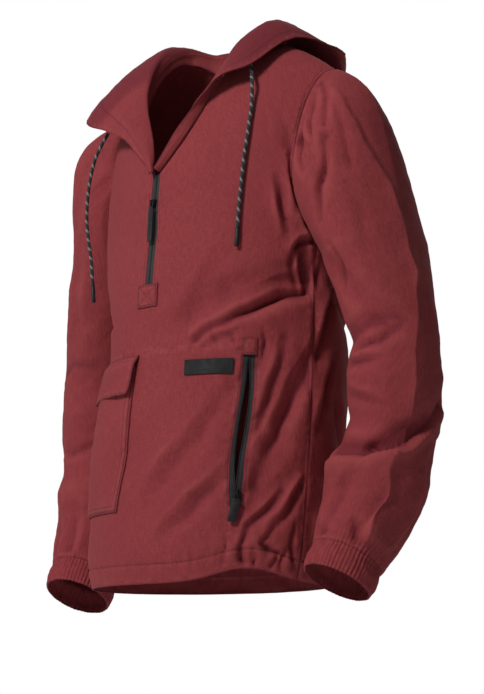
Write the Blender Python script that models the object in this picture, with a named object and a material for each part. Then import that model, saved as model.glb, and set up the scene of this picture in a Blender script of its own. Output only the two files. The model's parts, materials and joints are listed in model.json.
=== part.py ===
"""Hooded half-zip anorak, hanging hollow in the pose it keeps when it is worn.

Metres, +Z up. The wearer faces -Y and the wearer's left is +X. The origin is at the height of the
shoulders, between the two neck points. Each cut piece is a thin wall: a grid of points on the outer
skin, and the same grid moved in by the cloth's thickness.
"""

import math

import bmesh
import bpy
import numpy as np
from mathutils import Matrix, Vector

# ---------------------------------------------------------------- driving dimensions
CLOTH = 0.0016
HOOD_WALL = 0.0022
SEAM_GAP = 0.0003
NECK_GAP = 0.0013
ARMPIT_GAP = 0.0007
LAY_GAP = 0.0009

ARMPIT_Z = -0.250
NECK_X = 0.080
NECK_Z = 0.022
SHOULDER_X = 0.203
SHOULDER_Y = 0.012
FRONT_HALF_ANGLE = 84.0
BACK_HALF_ANGLE = 96.0
NECK_ANGLE = 34.0
ARMHOLE_SCOOP_FRONT = 17.5
ARMHOLE_SCOOP_BACK = 24.0
ARMHOLE_ROUND = 0.30

WAIST_Z = -0.420
ZIP_FOOT_Z = -0.329
PATCH_FOOT_Z = -0.357
ZIP_SLOT_ANGLE = 2.0
POCKET_TOP_Z = -0.430
POCKET_FOOT_Z = -0.632
POCKET_FRONT_ANGLE = 47.6
POCKET_SIDE_ANGLE = 53.0
POCKET_ZIP_ANGLE = 50.3
HEM_Z = -0.731
HEM_STITCH_Z = -0.705
HEM_HITCH = 0.018
HEM_HITCH_ANGLE = 58.0
HEM_HITCH_SPREAD = 20.0
HEM_HITCH_TOP_Z = -0.640

GATHERS = 24
CUFF_LENGTH = 0.035
CORD_DIAMETER = 0.0048
TIP_DIAMETER = 0.0062
TIP_LENGTH = 0.026

# Level sections of the body: height, half width, depth before and behind, and where the middle lies.
BODY_COLUMNS = ("z", "half_width", "front", "back", "middle_y")
BODY_SECTIONS = (
    (-0.731, 0.178, 0.146, 0.140, -0.024),
    (-0.700, 0.184, 0.152, 0.146, -0.022),
    (-0.620, 0.187, 0.155, 0.150, -0.014),
    (-0.520, 0.186, 0.152, 0.152, -0.004),
    (-0.420, 0.184, 0.150, 0.150, 0.004),
    (-0.320, 0.187, 0.145, 0.145, 0.004),
    (-0.250, 0.193, 0.135, 0.140, 0.002),
)

# How far round the quarter turn, from the armpit to the shoulder line, the neckline lies at each column.
NECKLINE_FRONT = ((0.0, 15.0), (2.0, 16.0), (9.0, 21.0), (16.0, 27.5), (23.0, 38.0),
                  (27.0, 49.0), (31.0, 64.5), (34.0, 90.0))
NECKLINE_BACK = ((0.0, 61.0), (12.0, 62.0), (23.0, 68.0), (29.0, 76.0), (34.0, 90.0))

FRONT_COLUMNS = (2, 9, 16, 23, 27, 31, 34, 40, 47.6, 53, 60, 66, 72, 78, 84)
BACK_NECK_COLUMNS = (12, 23, 29)
LOWER_ROWS = (HEM_Z, HEM_STITCH_Z, -0.675, POCKET_FOOT_Z, -0.590, -0.550, -0.510, -0.470, POCKET_TOP_Z,
              WAIST_Z, -0.385, PATCH_FOOT_Z, ZIP_FOOT_Z, -0.300, -0.272, ARMPIT_Z)
UPPER_ROWS = (0.02, 0.06, 0.12, 0.21, 0.33, 0.45, 0.57, 0.69, 0.80, 0.89, 0.95, 1.0)

# The zips' tapes: heights, and how far each half's edge stands from the zip's middle.
ZIP_TAPE = 0.0010
BODY_GIRTH = 0.160
POCKET_ZIP_ROWS = (-0.640, -0.632, -0.618, -0.590, -0.550, -0.510, -0.470, -0.440, -0.430, -0.424)
POCKET_ZIP_HALF_GAP = (0.0003, 0.0003, 0.0005, 0.0022, 0.0032, 0.0036, 0.0032, 0.0020, 0.0012, 0.0008)
FRONT_ZIP_ROWS = (-0.342, -0.329, -0.300, -0.272, -0.250, -0.232, -0.215, -0.195, -0.178)
FRONT_ZIP_HALF_GAP = (0.0003, 0.0003, 0.0003, 0.0003, 0.0003, 0.0003, 0.0004, 0.0010, 0.0016)
FRONT_TAPE_EDGE = 4.6
TAPE_MARGIN = 2.0

# Pieces that lie on the front: angles of their sides, heights of their rows, how far they stand off.
PATCH_HALF_ANGLE = 5.9
PATCH_ROWS = (-0.3585, -0.343, -0.3275)
LABEL_ANGLES = (20.0, 43.8)
LABEL_ROWS = (-0.4575, -0.4365)
LABEL_THICKNESS = 0.0014
WELT_ROWS = (-0.4325, -0.421, -0.4095)
WELT_ANGLES = (47.0, 53.6)
POCKET_MOUTH_Z = -0.436
POCKET_STAND_OFF = 0.0032
POCKET_EDGE = 2.5
POCKET_ROWS = (-0.634, -0.626, -0.590, -0.550, -0.510, -0.470, POCKET_MOUTH_Z)
FLAP_ROWS = (-0.4765, -0.462, -0.446, -0.434, -0.4225)
FLAP_STAND_OFF = (0.0125, 0.0115, 0.0095, 0.0075, LAY_GAP)
BAG_COLUMNS = (40.0, 42.5, POCKET_FRONT_ANGLE, POCKET_SIDE_ANGLE, 60.0, 63.5, 66.0)
BAG_ROWS = (-0.662, -0.652, POCKET_FOOT_Z, -0.590, -0.550, -0.510, -0.470, POCKET_TOP_Z, -0.412, -0.400)
BAG_DEPTH = 0.017
BAG_SHOULDER = 0.010
BAG_WALL = 0.0012

# Large folds of the body. Angle round the body from the centre front (wearer's left is positive) and
# height at each end, width, and depth (a trough is positive, a ridge negative).
FOLD_COLUMNS = ("angle_a", "z_a", "angle_b", "z_b", "width", "depth")
FOLD_GIRTH = 0.165
SLEEVE_FOLD_GIRTH = 0.064
BODY_FOLDS = (
    (80, -0.315, 40, -0.345, 0.020, 0.011),
    (40, -0.345, 10, -0.395, 0.018, 0.006),
    (78, -0.425, 52, -0.560, 0.020, 0.007),
    (66, -0.400, 48, -0.470, 0.016, 0.004),
    (76, -0.590, 52, -0.660, 0.020, 0.007),
    (72, -0.540, 58, -0.610, 0.015, 0.004),
    (10, -0.520, -20, -0.600, 0.030, 0.004),
    (-84, -0.315, -40, -0.350, 0.022, 0.008),
    (-80, -0.500, -58, -0.560, 0.020, 0.005),
    (100, -0.330, 150, -0.400, 0.024, 0.008),
    (-100, -0.330, -150, -0.400, 0.024, 0.008),
    (105, -0.520, 150, -0.600, 0.026, 0.006),
    (-105, -0.500, -150, -0.580, 0.026, 0.006),
)

# Sleeve sections under the armhole, wearer's left: the middle, and half width across and front to back.
SLEEVE_COLUMNS = ("x", "y", "z", "across", "along")
SLEEVE_SECTIONS = (
    (0.253, 0.033, -0.295, 0.060, 0.084),
    (0.268, 0.034, -0.342, 0.058, 0.073),
    (0.283, 0.036, -0.413, 0.056, 0.062),
    (0.282, 0.038, -0.463, 0.060, 0.068),
    (0.283, 0.036, -0.500, 0.060, 0.066),
    (0.281, 0.032, -0.538, 0.056, 0.062),
    (0.268, 0.020, -0.590, 0.064, 0.072),
    (0.262, 0.009, -0.633, 0.062, 0.066),
    (0.258, -0.013, -0.674, 0.054, 0.058),
    (0.255, -0.028, -0.702, 0.046, 0.050),
)
SLEEVE_RINGS = (0.0, 0.6, 1.2, 1.8, 2.4, 3.0, 3.6, 4.2, 5.0, 5.5, 6.0, 6.6, 7.3, 8.0, 8.6, 9.0)
CAP_RINGS = (0.0, 0.08, 0.20, 0.36, 0.56, 0.78)
# The way the cloth leaves the armhole: over the shoulder, under the arm, and at the front and back.
CAP_OUTER_START = np.array([0.94, 0.0, -0.33])
CAP_INNER_START = np.array([0.30, 0.0, -1.0])
CAP_SPREAD = np.array([0.27, 0.0, 0.0])
CAP_FORWARD = np.array([0.0, -1.1, 0.0])
# How strongly the cap keeps its direction at the armhole and at the arm: inside, and more at the outside.
CAP_START_PULL = (0.072, 0.242)
CAP_END_PULL = (0.058, 0.327)
# The right arm is held a little more outward and forward at the shoulder.
RIGHT_CAP_SWELL = np.array([-0.016, -0.017, 0.0])
# Makes the swell whole where it is largest, a quarter of the way down.
SWELL_SCALE = 1 / (0.25 * 0.75 ** 3)
# Large folds of a sleeve: turn round the sleeve from its outer line (front is 90), place along it.
SLEEVE_FOLD_COLUMNS = ("turn_a", "z_a", "turn_b", "z_b", "width", "depth")
SLEEVE_FOLDS = (
    (95, -0.100, 75, -0.200, 0.014, 0.008),
    (60, -0.070, 40, -0.180, 0.016, 0.006),
    (120, -0.300, 60, -0.400, 0.018, 0.007),
    (150, -0.420, 40, -0.395, 0.014, 0.007),
    (150, -0.545, 60, -0.560, 0.012, 0.008),
    (60, -0.560, 0, -0.520, 0.012, 0.009),
    (0, -0.520, -60, -0.470, 0.014, 0.007),
    (70, -0.590, 110, -0.690, 0.014, 0.007),
    (20, -0.600, 45, -0.700, 0.014, 0.006),
    (-90, -0.420, -160, -0.400, 0.016, 0.006),
    (-60, -0.580, -120, -0.660, 0.016, 0.006),
)

# Hood sections. Place along the half neckline (0 at the foot of the V, 6 at the neck point, 10 at the
# centre back), then four points from the neck seam to the hood's free edge. In front they are measured
# from the neck seam itself, so that the hood goes with the front when its depth is changed.
HOOD_COLUMNS = ("place", "stand", "turn", "fall", "edge")
HOOD_LEFT_FRONT = (
    (0.0, (-0.0004, -0.0032, 0.0009), (-0.0012, -0.0055, 0.0023), (-0.0024, -0.0072, 0.0038),
     (-0.0038, -0.0087, 0.0054)),
    (1.0, (-0.0004, -0.0032, 0.0012), (-0.0024, -0.0060, 0.0036), (-0.0044, -0.0081, 0.0059),
     (-0.0069, -0.0096, 0.0084)),
    (2.0, (-0.0001, -0.0034, 0.0012), (-0.0024, -0.0065, 0.0037), (-0.0051, -0.0093, 0.0064),
     (-0.0081, -0.0116, 0.0089)),
    (3.0, (0.0004, -0.0038, 0.0018), (0.0004, -0.0075, 0.0038), (0.0012, -0.0106, 0.0052),
     (0.0028, -0.0134, 0.0058)),
    (4.0, (0.0046, -0.0058, 0.0069), (0.0116, -0.0118, 0.0079), (0.0186, -0.0178, 0.0029),
     (0.0236, -0.0218, -0.0051)),
    (5.0, (0.0055, -0.0050, 0.0155), (0.0215, -0.0120, 0.0135), (0.0385, -0.0220, -0.0045),
     (0.0515, -0.0300, -0.0305)),
)
HOOD_RIGHT_FRONT = (
    (0.0, (0.0012, -0.0032, 0.0009), (0.0022, -0.0055, 0.0009), (0.0024, -0.0075, -0.0005),
     (0.0022, -0.0085, -0.0030)),
    (1.0, (0.0060, -0.0036, 0.0024), (0.0165, -0.0024, 0.0024), (0.0180, -0.0108, -0.0056),
     (0.0160, -0.0100, -0.0136)),
    (2.0, (0.0090, -0.0036, 0.0020), (0.0220, -0.0022, 0.0045), (0.0190, -0.0152, -0.0085),
     (0.0120, -0.0152, -0.0225)),
    (3.0, (0.0043, -0.0074, 0.0021), (0.0153, -0.0084, 0.0061), (0.0033, -0.0244, -0.0119),
     (-0.0127, -0.0244, -0.0309)),
    (4.0, (0.0004, -0.0078, 0.0059), (0.0034, -0.0138, 0.0089), (-0.0256, -0.0318, -0.0151),
     (-0.0546, -0.0368, -0.0461)),
    (5.0, (0.0005, -0.0070, 0.0155), (-0.0055, -0.0170, 0.0155), (-0.0465, -0.0470, -0.0185),
     (-0.1005, -0.0560, -0.0595)),
)
HOOD_RIGHT_SHOULDER = (
    (6.0, (-0.085, 0.010, 0.046), (-0.108, 0.000, 0.046), (-0.142, -0.016, 0.026), (-0.172, -0.028, 0.004)),
)
HOOD_LEFT_SHOULDER = (
    (6.0, (0.085, 0.010, 0.046), (0.102, 0.006, 0.046), (0.122, 0.002, 0.034), (0.140, -0.002, 0.014)),
)
# The part behind the shoulders is the same on both sides.
HOOD_BEHIND = (
    (7.0, (0.082, 0.058, 0.042), (0.138, 0.078, 0.002), (0.148, 0.086, 0.002), (0.146, 0.090, 0.012)),
    (8.0, (0.065, 0.080, 0.040), (0.100, 0.120, -0.085), (0.107, 0.135, -0.045), (0.104, 0.128, 0.016)),
    (9.0, (0.034, 0.092, 0.036), (0.060, 0.150, -0.148), (0.065, 0.178, -0.090), (0.058, 0.158, 0.018)),
    (10.0, (0.0, 0.095, 0.036), (0.0, 0.160, -0.172), (0.0, 0.200, -0.105), (0.0, 0.174, 0.018)),
)
HOOD_PLACES = (0.0, 0.5, 1.0, 1.5, 2.0, 2.5, 3.0, 3.5, 4.0, 4.5, 5.0, 5.5, 6.0, 6.5, 7.0, 7.5, 8.0, 8.5,
               9.0, 9.5, 10.0)
HOOD_STEPS = 9

RED = (0.262, 0.048, 0.050)
RED_DARK = (0.200, 0.036, 0.040)
CHARCOAL = (0.022, 0.022, 0.024)
TAPE_BLACK = (0.014, 0.014, 0.015)
METAL_DARK = (0.040, 0.040, 0.044)


# ---------------------------------------------------------------- numbers and curves
def column(rows, names, name):
    """One named column of a table as an array."""
    return np.array([row[names.index(name)] for row in rows], dtype=float)


def through(knots, values, at):
    """A smooth curve through the values at the knots."""
    knots = np.asarray(knots, dtype=float)
    values = np.asarray(values, dtype=float)
    slopes = np.gradient(values, knots, axis=0)
    at = np.clip(np.asarray(at, dtype=float), knots[0], knots[-1])
    cell = np.clip(np.searchsorted(knots, at, side="right") - 1, 0, len(knots) - 2)
    span = knots[cell + 1] - knots[cell]
    t = (at - knots[cell]) / span
    tail = (1,) * (values.ndim - 1)
    t = t.reshape(t.shape + tail)
    span = span.reshape(span.shape + tail)
    start = values[cell] * (1 + 2 * t) * (1 - t) ** 2 + slopes[cell] * span * t * (1 - t) ** 2
    end = values[cell + 1] * t * t * (3 - 2 * t) - slopes[cell + 1] * span * t * t * (1 - t)
    return start + end


def unit(vectors):
    """The vectors at length one."""
    length = np.linalg.norm(vectors, axis=-1, keepdims=True)
    return vectors / np.maximum(length, 1e-12)


def body_section(z):
    """Half width, front depth, back depth and middle of the body at each height."""
    knots = column(BODY_SECTIONS, BODY_COLUMNS, "z")
    return [through(knots, column(BODY_SECTIONS, BODY_COLUMNS, name), z) for name in BODY_COLUMNS[1:]]


def on_section(section, turn):
    """A point of a level section, at a turn in degrees from the centre front."""
    half_width, front, back, middle = section
    sine = np.sin(np.radians(turn))
    cosine = np.cos(np.radians(turn))
    depth = np.where(cosine > 0, front, back)
    return half_width * sine, middle - depth * cosine


def shoulder_height(x):
    """Height of the shoulder line: nearly level by the neck, steeper towards the arm."""
    out = x - NECK_X
    return np.where(out > 0, NECK_Z - 0.26 * out - 1.9 * out * out, NECK_Z - 0.15 * out)


def armhole_scoop(rise):
    """How far the armhole bites into a panel, 0 to 1: round at the armpit, then straight up."""
    left = max(1 - rise / ARMHOLE_ROUND, 0)
    return math.sqrt(1 - left ** 2.5)


def fold_depth(folds, names, turn, z, girth):
    """Sum of the troughs at each place; a fold fades out over its own width past its ends."""
    depth = np.zeros(np.broadcast(turn, z).shape)
    for row in folds:
        turn_a, z_a, turn_b, z_b, width, deep = (row[names.index(name)] for name in names)
        across = np.radians(turn - turn_a) * girth
        up = z - z_a
        along = np.array([math.radians(turn_b - turn_a) * girth, z_b - z_a])
        length = float(np.hypot(*along))
        share = np.clip((across * along[0] + up * along[1]) / length ** 2, 0, 1)
        off = np.hypot(across - share * along[0], up - share * along[1])
        fade = 0.45 + 0.55 * np.sin(np.pi * np.clip(share, 0.08, 0.92))
        depth += deep * fade * np.exp(-((off / width) ** 2))
    return depth


def hem_hitch(turn, z):
    """How far the hem is drawn up beside the left hip; the lift fades out above the hem."""
    share = float(np.clip((HEM_HITCH_TOP_Z - z) / (HEM_HITCH_TOP_Z - HEM_STITCH_Z), 0, 1))
    return HEM_HITCH * share * np.exp(-((turn - HEM_HITCH_ANGLE) / HEM_HITCH_SPREAD) ** 2)


def pocket_slant(turn, z):
    """Degrees by which the lines beside the pocket zip lean, so that the zip runs down and forwards."""
    lean = np.interp(z, (HEM_Z, POCKET_FOOT_Z, POCKET_TOP_Z, PATCH_FOOT_Z), (-0.8, -1.1, 0.5, 0.0))
    return lean * np.exp(-((turn - POCKET_ZIP_ANGLE) / HEM_HITCH_SPREAD) ** 2)


# ---------------------------------------------------------------- the body's skin
def panel_grid(columns, half_angle, scoop, neckline, behind):
    """Grid of a whole front or back: rows from the hem to the shoulder, columns right to left."""
    angles = np.array([-float(a) for a in reversed(columns)] + [float(a) for a in columns])
    if behind:
        angles = np.array([-float(a) for a in reversed(columns)] + [0.0] + [float(a) for a in columns])
    side = np.sign(angles)
    size = np.abs(angles)
    rows = []
    for z in LOWER_ROWS:
        turn = side * (180 - size) if behind else angles
        turn = np.where(behind & (angles == 0), 180.0, turn)
        x, y = on_section(body_section(z), turn + pocket_slant(turn, z))
        rows.append((x, y, z + hem_hitch(turn, z), turn))
    base = body_section(ARMPIT_Z)
    top_turn = through([n[0] for n in neckline], [n[1] for n in neckline], np.minimum(size, NECK_ANGLE))
    for rise in UPPER_ROWS:
        edge = half_angle - scoop * armhole_scoop(rise)
        narrow = NECK_ANGLE + (size - NECK_ANGLE) * (edge - NECK_ANGLE) / (half_angle - NECK_ANGLE)
        place = np.where(size > NECK_ANGLE, narrow, size)
        turn = side * (180 - place) if behind else side * place
        turn = np.where(behind & (angles == 0), 180.0, turn)
        base_x, base_y = on_section(base, turn)
        outward = (size - NECK_ANGLE) / (half_angle - NECK_ANGLE)
        top_x = np.where(size > NECK_ANGLE, NECK_X + (SHOULDER_X - NECK_X) * outward,
                         NECK_X * size / NECK_ANGLE)
        lift = np.radians(np.where(size < NECK_ANGLE, top_turn, 90.0) * rise)
        late = np.clip(outward * 2, 0, 1)
        spread = np.sin(lift) * (1 - late) + (1 - np.cos(lift)) * late
        x = base_x + (side * top_x - base_x) * spread
        y = SHOULDER_Y + (base_y - SHOULDER_Y) * np.cos(lift)
        z = ARMPIT_Z + (shoulder_height(top_x) - ARMPIT_Z) * np.sin(lift)
        rows.append((x, y, z, turn))
    x, y, z, turn = (np.array([row[i] for row in rows]) for i in range(4))
    if behind:
        turn = np.where(turn == 180, 180.0, turn)
    depth = fold_depth(BODY_FOLDS, FOLD_COLUMNS, turn, z, FOLD_GIRTH)
    x = x - depth * np.sin(np.radians(turn))
    y = y + depth * np.cos(np.radians(turn))
    return np.stack([x, y, z], axis=-1), angles


def grid_normals(points, wrap=False):
    """Unit normals of a grid whose rows run up and whose columns run to the wearer's left in front."""
    if wrap:
        across = np.roll(points, -1, axis=1) - np.roll(points, 1, axis=1)
    else:
        across = np.gradient(points, axis=1)
    up = np.gradient(points, axis=0)
    return unit(np.cross(across, up))


def at_grid(points, row, col):
    """Points at fractional rows and columns of a grid."""
    row = np.clip(row, 0, points.shape[0] - 1)
    col = np.clip(col, 0, points.shape[1] - 1)
    r = np.minimum(row.astype(int), points.shape[0] - 2)
    c = np.minimum(col.astype(int), points.shape[1] - 2)
    u = (row - r)[..., None]
    v = (col - c)[..., None]
    low = points[r, c] * (1 - v) + points[r, c + 1] * v
    high = points[r + 1, c] * (1 - v) + points[r + 1, c + 1] * v
    return low * (1 - u) + high * u


# ---------------------------------------------------------------- meshes
def material(name, colour, roughness, metallic=0.0):
    """A plain finish, made once."""
    found = bpy.data.materials.get(name)
    if found:
        return found
    made = bpy.data.materials.new(name)
    made.use_nodes = True
    shader = made.node_tree.nodes["Principled BSDF"]
    shader.inputs["Base Color"].default_value = (*colour, 1.0)
    shader.inputs["Roughness"].default_value = roughness
    shader.inputs["Metallic"].default_value = metallic
    made.diffuse_color = (*colour, 1.0)
    return made


def add_object(name, mesh, finish, parent=None):
    """Put a mesh into the scene, smooth but for its sharp edges."""
    mesh.materials.append(finish)
    mesh.shade_smooth()
    mesh.set_sharp_from_angle(angle=math.radians(50))
    made = bpy.data.objects.new(name, mesh)
    bpy.context.scene.collection.objects.link(made)
    if parent:
        made.parent = parent
        made.matrix_parent_inverse = Matrix.Translation(-parent.location)
    return made


def draw_back(points, normals, keep, gap):
    """Move the boundary of the kept cells back into the piece by half a seam gap."""
    rows, cols = keep.shape
    total = np.zeros_like(points)
    count = np.zeros(points.shape[:2])
    for r in range(rows):
        for c in range(cols):
            if not keep[r, c]:
                continue
            right = (c + 1) % points.shape[1]
            corners = ((r, c), (r, right), (r + 1, right), (r + 1, c))
            middle = sum(points[corner] for corner in corners) / 4
            for corner in corners:
                total[corner] += middle - points[corner]
                count[corner] += 1
    full = np.full(points.shape[:2], 4)
    inward = total - np.sum(total * normals, axis=-1, keepdims=True) * normals
    edge = (count > 0) & (count < full)
    reach = np.where(count == 1, math.sqrt(2), 1.0) * gap / 2
    moved = points + unit(inward) * reach[..., None]
    return np.where(edge[..., None], moved, points)


def shell(name, points, normals, finish, keep=None, wall=CLOTH, wrap=False, gap=SEAM_GAP):
    """A wall of cloth: an outer skin through the points, an inner skin under it, and rims."""
    if keep is None:
        keep = np.ones((points.shape[0] - 1, points.shape[1] - (0 if wrap else 1)), dtype=bool)
    outer = draw_back(points, normals, keep, gap)
    inner = outer - normals * wall
    build = bmesh.new()
    corner_of = {}

    def corner(layer, r, c):
        key = (layer, r, c % points.shape[1])
        if key not in corner_of:
            corner_of[key] = build.verts.new((outer, inner)[layer][r, key[2]])
        return corner_of[key]

    kept = {(r, c) for r, c in zip(*np.nonzero(keep))}
    wide = keep.shape[1]
    for r, c in sorted(kept):
        ring = ((r, c), (r, c + 1), (r + 1, c + 1), (r + 1, c))
        build.faces.new([corner(0, *place) for place in ring])
        build.faces.new([corner(1, *place) for place in reversed(ring)])
        beside = ((r - 1, c), (r, c + 1), (r + 1, c), (r, c - 1))
        for i, other in enumerate(beside):
            if wrap:
                other = (other[0], other[1] % wide)
            if other in kept:
                continue
            a, b = ring[i], ring[(i + 1) % 4]
            build.faces.new([corner(1, *a), corner(1, *b), corner(0, *b), corner(0, *a)])
    mesh = bpy.data.meshes.new(name)
    bmesh.ops.triangulate(build, faces=build.faces[:])
    build.to_mesh(mesh)
    build.free()
    return add_object(name, mesh, finish)


# ---------------------------------------------------------------- torso
def body_grids():
    """The front grid and the back grid, each with normals that both share along their seams."""
    seam_angles = [a for a in FRONT_COLUMNS if a >= NECK_ANGLE]
    stretch = (BACK_HALF_ANGLE - NECK_ANGLE) / (FRONT_HALF_ANGLE - NECK_ANGLE)
    back_columns = list(BACK_NECK_COLUMNS) + [NECK_ANGLE + (a - NECK_ANGLE) * stretch for a in seam_angles]
    front, angles = panel_grid(FRONT_COLUMNS, FRONT_HALF_ANGLE, ARMHOLE_SCOOP_FRONT, NECKLINE_FRONT, False)
    back, _ = panel_grid(back_columns, BACK_HALF_ANGLE, ARMHOLE_SCOOP_BACK, NECKLINE_BACK, True)
    back = back[:, ::-1]
    front_normals = grid_normals(front)
    back_normals = grid_normals(back)
    under_arm = slice(0, len(LOWER_ROWS))
    for near, far in ((-1, 0), (0, -1)):
        share(front_normals, (under_arm, near), back_normals, (under_arm, far))
    wide = len(seam_angles)
    share(front_normals, (-1, slice(-wide, None)), back_normals, (-1, slice(wide - 1, None, -1)))
    share(front_normals, (-1, slice(0, wide)), back_normals, (-1, slice(None, -wide - 1, -1)))
    return front, front_normals, angles, back, back_normals


def share(first, first_place, second, second_place):
    """Give two grids the same normals where they meet."""
    both = unit(first[first_place] + second[second_place])
    first[first_place] = both
    second[second_place] = both


def front_masks(angles):
    """Which cells of the front grid belong to the upper and to the lower front."""
    rows = list(LOWER_ROWS)
    cells = (len(rows) + len(UPPER_ROWS) - 1, len(angles) - 1)
    upper = np.zeros(cells, dtype=bool)
    waist = rows.index(WAIST_Z)
    pocket_col = int(np.searchsorted(angles, POCKET_FRONT_ANGLE))
    upper[waist:] = True
    upper[:, pocket_col:] = True
    lower = ~upper
    upper[rows.index(POCKET_FOOT_Z):rows.index(POCKET_TOP_Z), pocket_col] = False
    centre = len(FRONT_COLUMNS) - 1
    upper[rows.index(ZIP_FOOT_Z):, centre] = False
    return upper, lower


# ---------------------------------------------------------------- sleeves and cuffs
def armhole_loop(front, back):
    """The left armhole from the shoulder tip down its front to the armpit and up its back."""
    pit = len(LOWER_ROWS) - 1
    down = [(0, r) for r in range(front.shape[0] - 1, pit - 1, -1)]
    up = [(1, r) for r in range(pit + 1, back.shape[0] - 1)]
    return down, up


def sleeve_axis(place):
    """Middle of the sleeve, its half widths, and its direction at places along the sleeve's table."""
    knots = np.arange(len(SLEEVE_SECTIONS))
    middle = np.array([row[:3] for row in SLEEVE_SECTIONS])
    widths = np.array([row[3:] for row in SLEEVE_SECTIONS])
    step = 0.05
    ahead = through(knots, middle, np.minimum(place + step, knots[-1]))
    behind = through(knots, middle, np.maximum(place - step, 0))
    return through(knots, middle, place), through(knots, widths, place), unit(ahead - behind)


def ring(middle, widths, direction, turn):
    """Points of an ellipse square to a direction; turn 0 is outward and 90 is to the front."""
    outward = unit(np.array([1.0, 0.0, 0.0]) - direction[0] * direction)
    forward = np.cross(direction, outward)
    turn = np.radians(turn)[:, None]
    return middle + widths[0] * np.cos(turn) * outward + widths[1] * np.sin(turn) * forward


def sleeve_grid(front, front_normals, back, back_normals):
    """Rings of the left sleeve from the armhole to the cuff, and the normals shared at the armhole."""
    down, up = armhole_loop(front, back)
    seam = np.array([front[r, -1] for _, r in down] + [back[r, 0] for _, r in up])
    torso = np.array([front_normals[r, -1] for _, r in down] + [back_normals[r, 0] for _, r in up])
    steps = np.linalg.norm(np.roll(seam, -1, axis=0) - seam, axis=1)
    walked = np.concatenate([[0], np.cumsum(steps)])
    half = len(down) - 1
    turn = np.where(np.arange(len(seam)) <= half, 180 * walked[:-1] / walked[half],
                    180 + 180 * (walked[:-1] - walked[half]) / (walked[-1] - walked[half]))
    middle, widths, direction = sleeve_axis(np.array([0.0]))
    first = ring(middle[0], widths[0], direction[0], turn)
    cosine = np.cos(np.radians(turn))[:, None]
    sine = np.sin(np.radians(turn))[:, None]
    outer = (1 + cosine) / 2
    start = outer * CAP_OUTER_START + (1 - outer) * CAP_INNER_START
    start = unit(start + np.abs(sine) * CAP_SPREAD + sine * CAP_FORWARD)
    start = start * (CAP_START_PULL[0] + CAP_START_PULL[1] * outer)
    end = direction[0] * (CAP_END_PULL[0] + CAP_END_PULL[1] * outer)
    rings = []
    for t in CAP_RINGS:
        rings.append(seam * (1 + 2 * t) * (1 - t) ** 2 + start * t * (1 - t) ** 2
                     + first * t * t * (3 - 2 * t) - end * t * t * (1 - t))
    for place in SLEEVE_RINGS:
        middle, widths, direction = sleeve_axis(np.array([place]))
        rings.append(ring(middle[0], widths[0], direction[0], turn))
    points = np.array(rings)
    normals = grid_normals(points, wrap=True)
    signed = np.where(turn > 180, turn - 360, turn)
    depth = fold_depth(SLEEVE_FOLDS, SLEEVE_FOLD_COLUMNS, signed[None, :], points[..., 2],
                       SLEEVE_FOLD_GIRTH)
    depth[0] = 0
    depth[-1] = 0
    points = points - normals * depth[..., None]
    normals = grid_normals(points, wrap=True)
    joined = unit(torso + normals[0])
    normals[0] = joined
    last = direction[0]
    normals[-1] = unit(normals[-1] - np.sum(normals[-1] * last, axis=-1, keepdims=True) * last)
    for (_, r), normal in zip(down, joined[:len(down)]):
        front_normals[r, -1] = normal
    pit = len(LOWER_ROWS) - 1
    back_normals[-1, 0] = joined[0]
    back_normals[pit, 0] = joined[half]
    for (_, r), normal in zip(up, joined[len(down):]):
        back_normals[r, 0] = normal
    return points, normals


def cuff_grid():
    """Rings of the left cuff: an elastic casing drawn into even gathers."""
    turn = np.arange(2 * GATHERS) * 360 / (2 * GATHERS)
    middle, widths, direction = sleeve_axis(np.array([len(SLEEVE_SECTIONS) - 1.0]))
    middle, widths, direction = middle[0], widths[0], direction[0]
    profile = ((0.0, 0.0, 0.0), (0.16, -0.0022, 0.0012), (0.5, -0.0002, 0.0018), (0.86, -0.0016, 0.0016),
               (1.0, -0.0030, 0.0014))
    rings = []
    for along, swell, wave in profile:
        ripple = np.where(np.arange(2 * GATHERS) % 2 == 0, wave, -wave)[:, None]
        size = widths + swell
        flat = ring(middle, size, direction, turn)
        rings.append(flat + unit(flat - middle) * ripple + direction * (SEAM_GAP + along * CUFF_LENGTH))
    points = np.array(rings)
    normals = grid_normals(points, wrap=True)
    for end in (0, -1):
        normals[end] = unit(normals[end] - np.sum(normals[end] * direction, axis=-1, keepdims=True) * direction)
    return points, normals


def clear_armpit(points):
    """Stand the left sleeve's first ring a little outward at the armpit, where four edges meet."""
    pit = int(np.argmin(points[0, :, 2]))
    off = np.arange(points.shape[1]) - pit
    points[0, :, 0] += ARMPIT_GAP * np.exp(-(off / 1.5) ** 2)
    points[1, :, 0] += 0.5 * ARMPIT_GAP * np.exp(-(off / 1.5) ** 2)


def mirrored(points, normals):
    """The same grid on the other side of the body, with its columns turned so that it still faces out."""
    flip = np.array([-1.0, 1.0, 1.0])
    return (points * flip)[:, ::-1], (normals * flip)[:, ::-1]


def swelled(points, normals):
    """The right sleeve with the outer side of its cap moved, most of all a quarter of the way down."""
    place = np.concatenate([CAP_RINGS, np.ones(len(points) - len(CAP_RINGS))])
    along = SWELL_SCALE * place * (1 - place) ** 3
    inside = points[..., 0].max(axis=1, keepdims=True)
    outside = points[..., 0].min(axis=1, keepdims=True)
    outer = (inside - points[..., 0]) / (inside - outside)
    return points + (along[:, None] * outer)[..., None] * RIGHT_CAP_SWELL, normals


# ---------------------------------------------------------------- hood
def hood_rows(table, side):
    """Places and point rows of a hood table, for one side."""
    flip = np.array([side, 1.0, 1.0])
    return [(row[0], [np.array(point) * flip for point in row[1:]]) for row in table]


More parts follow.
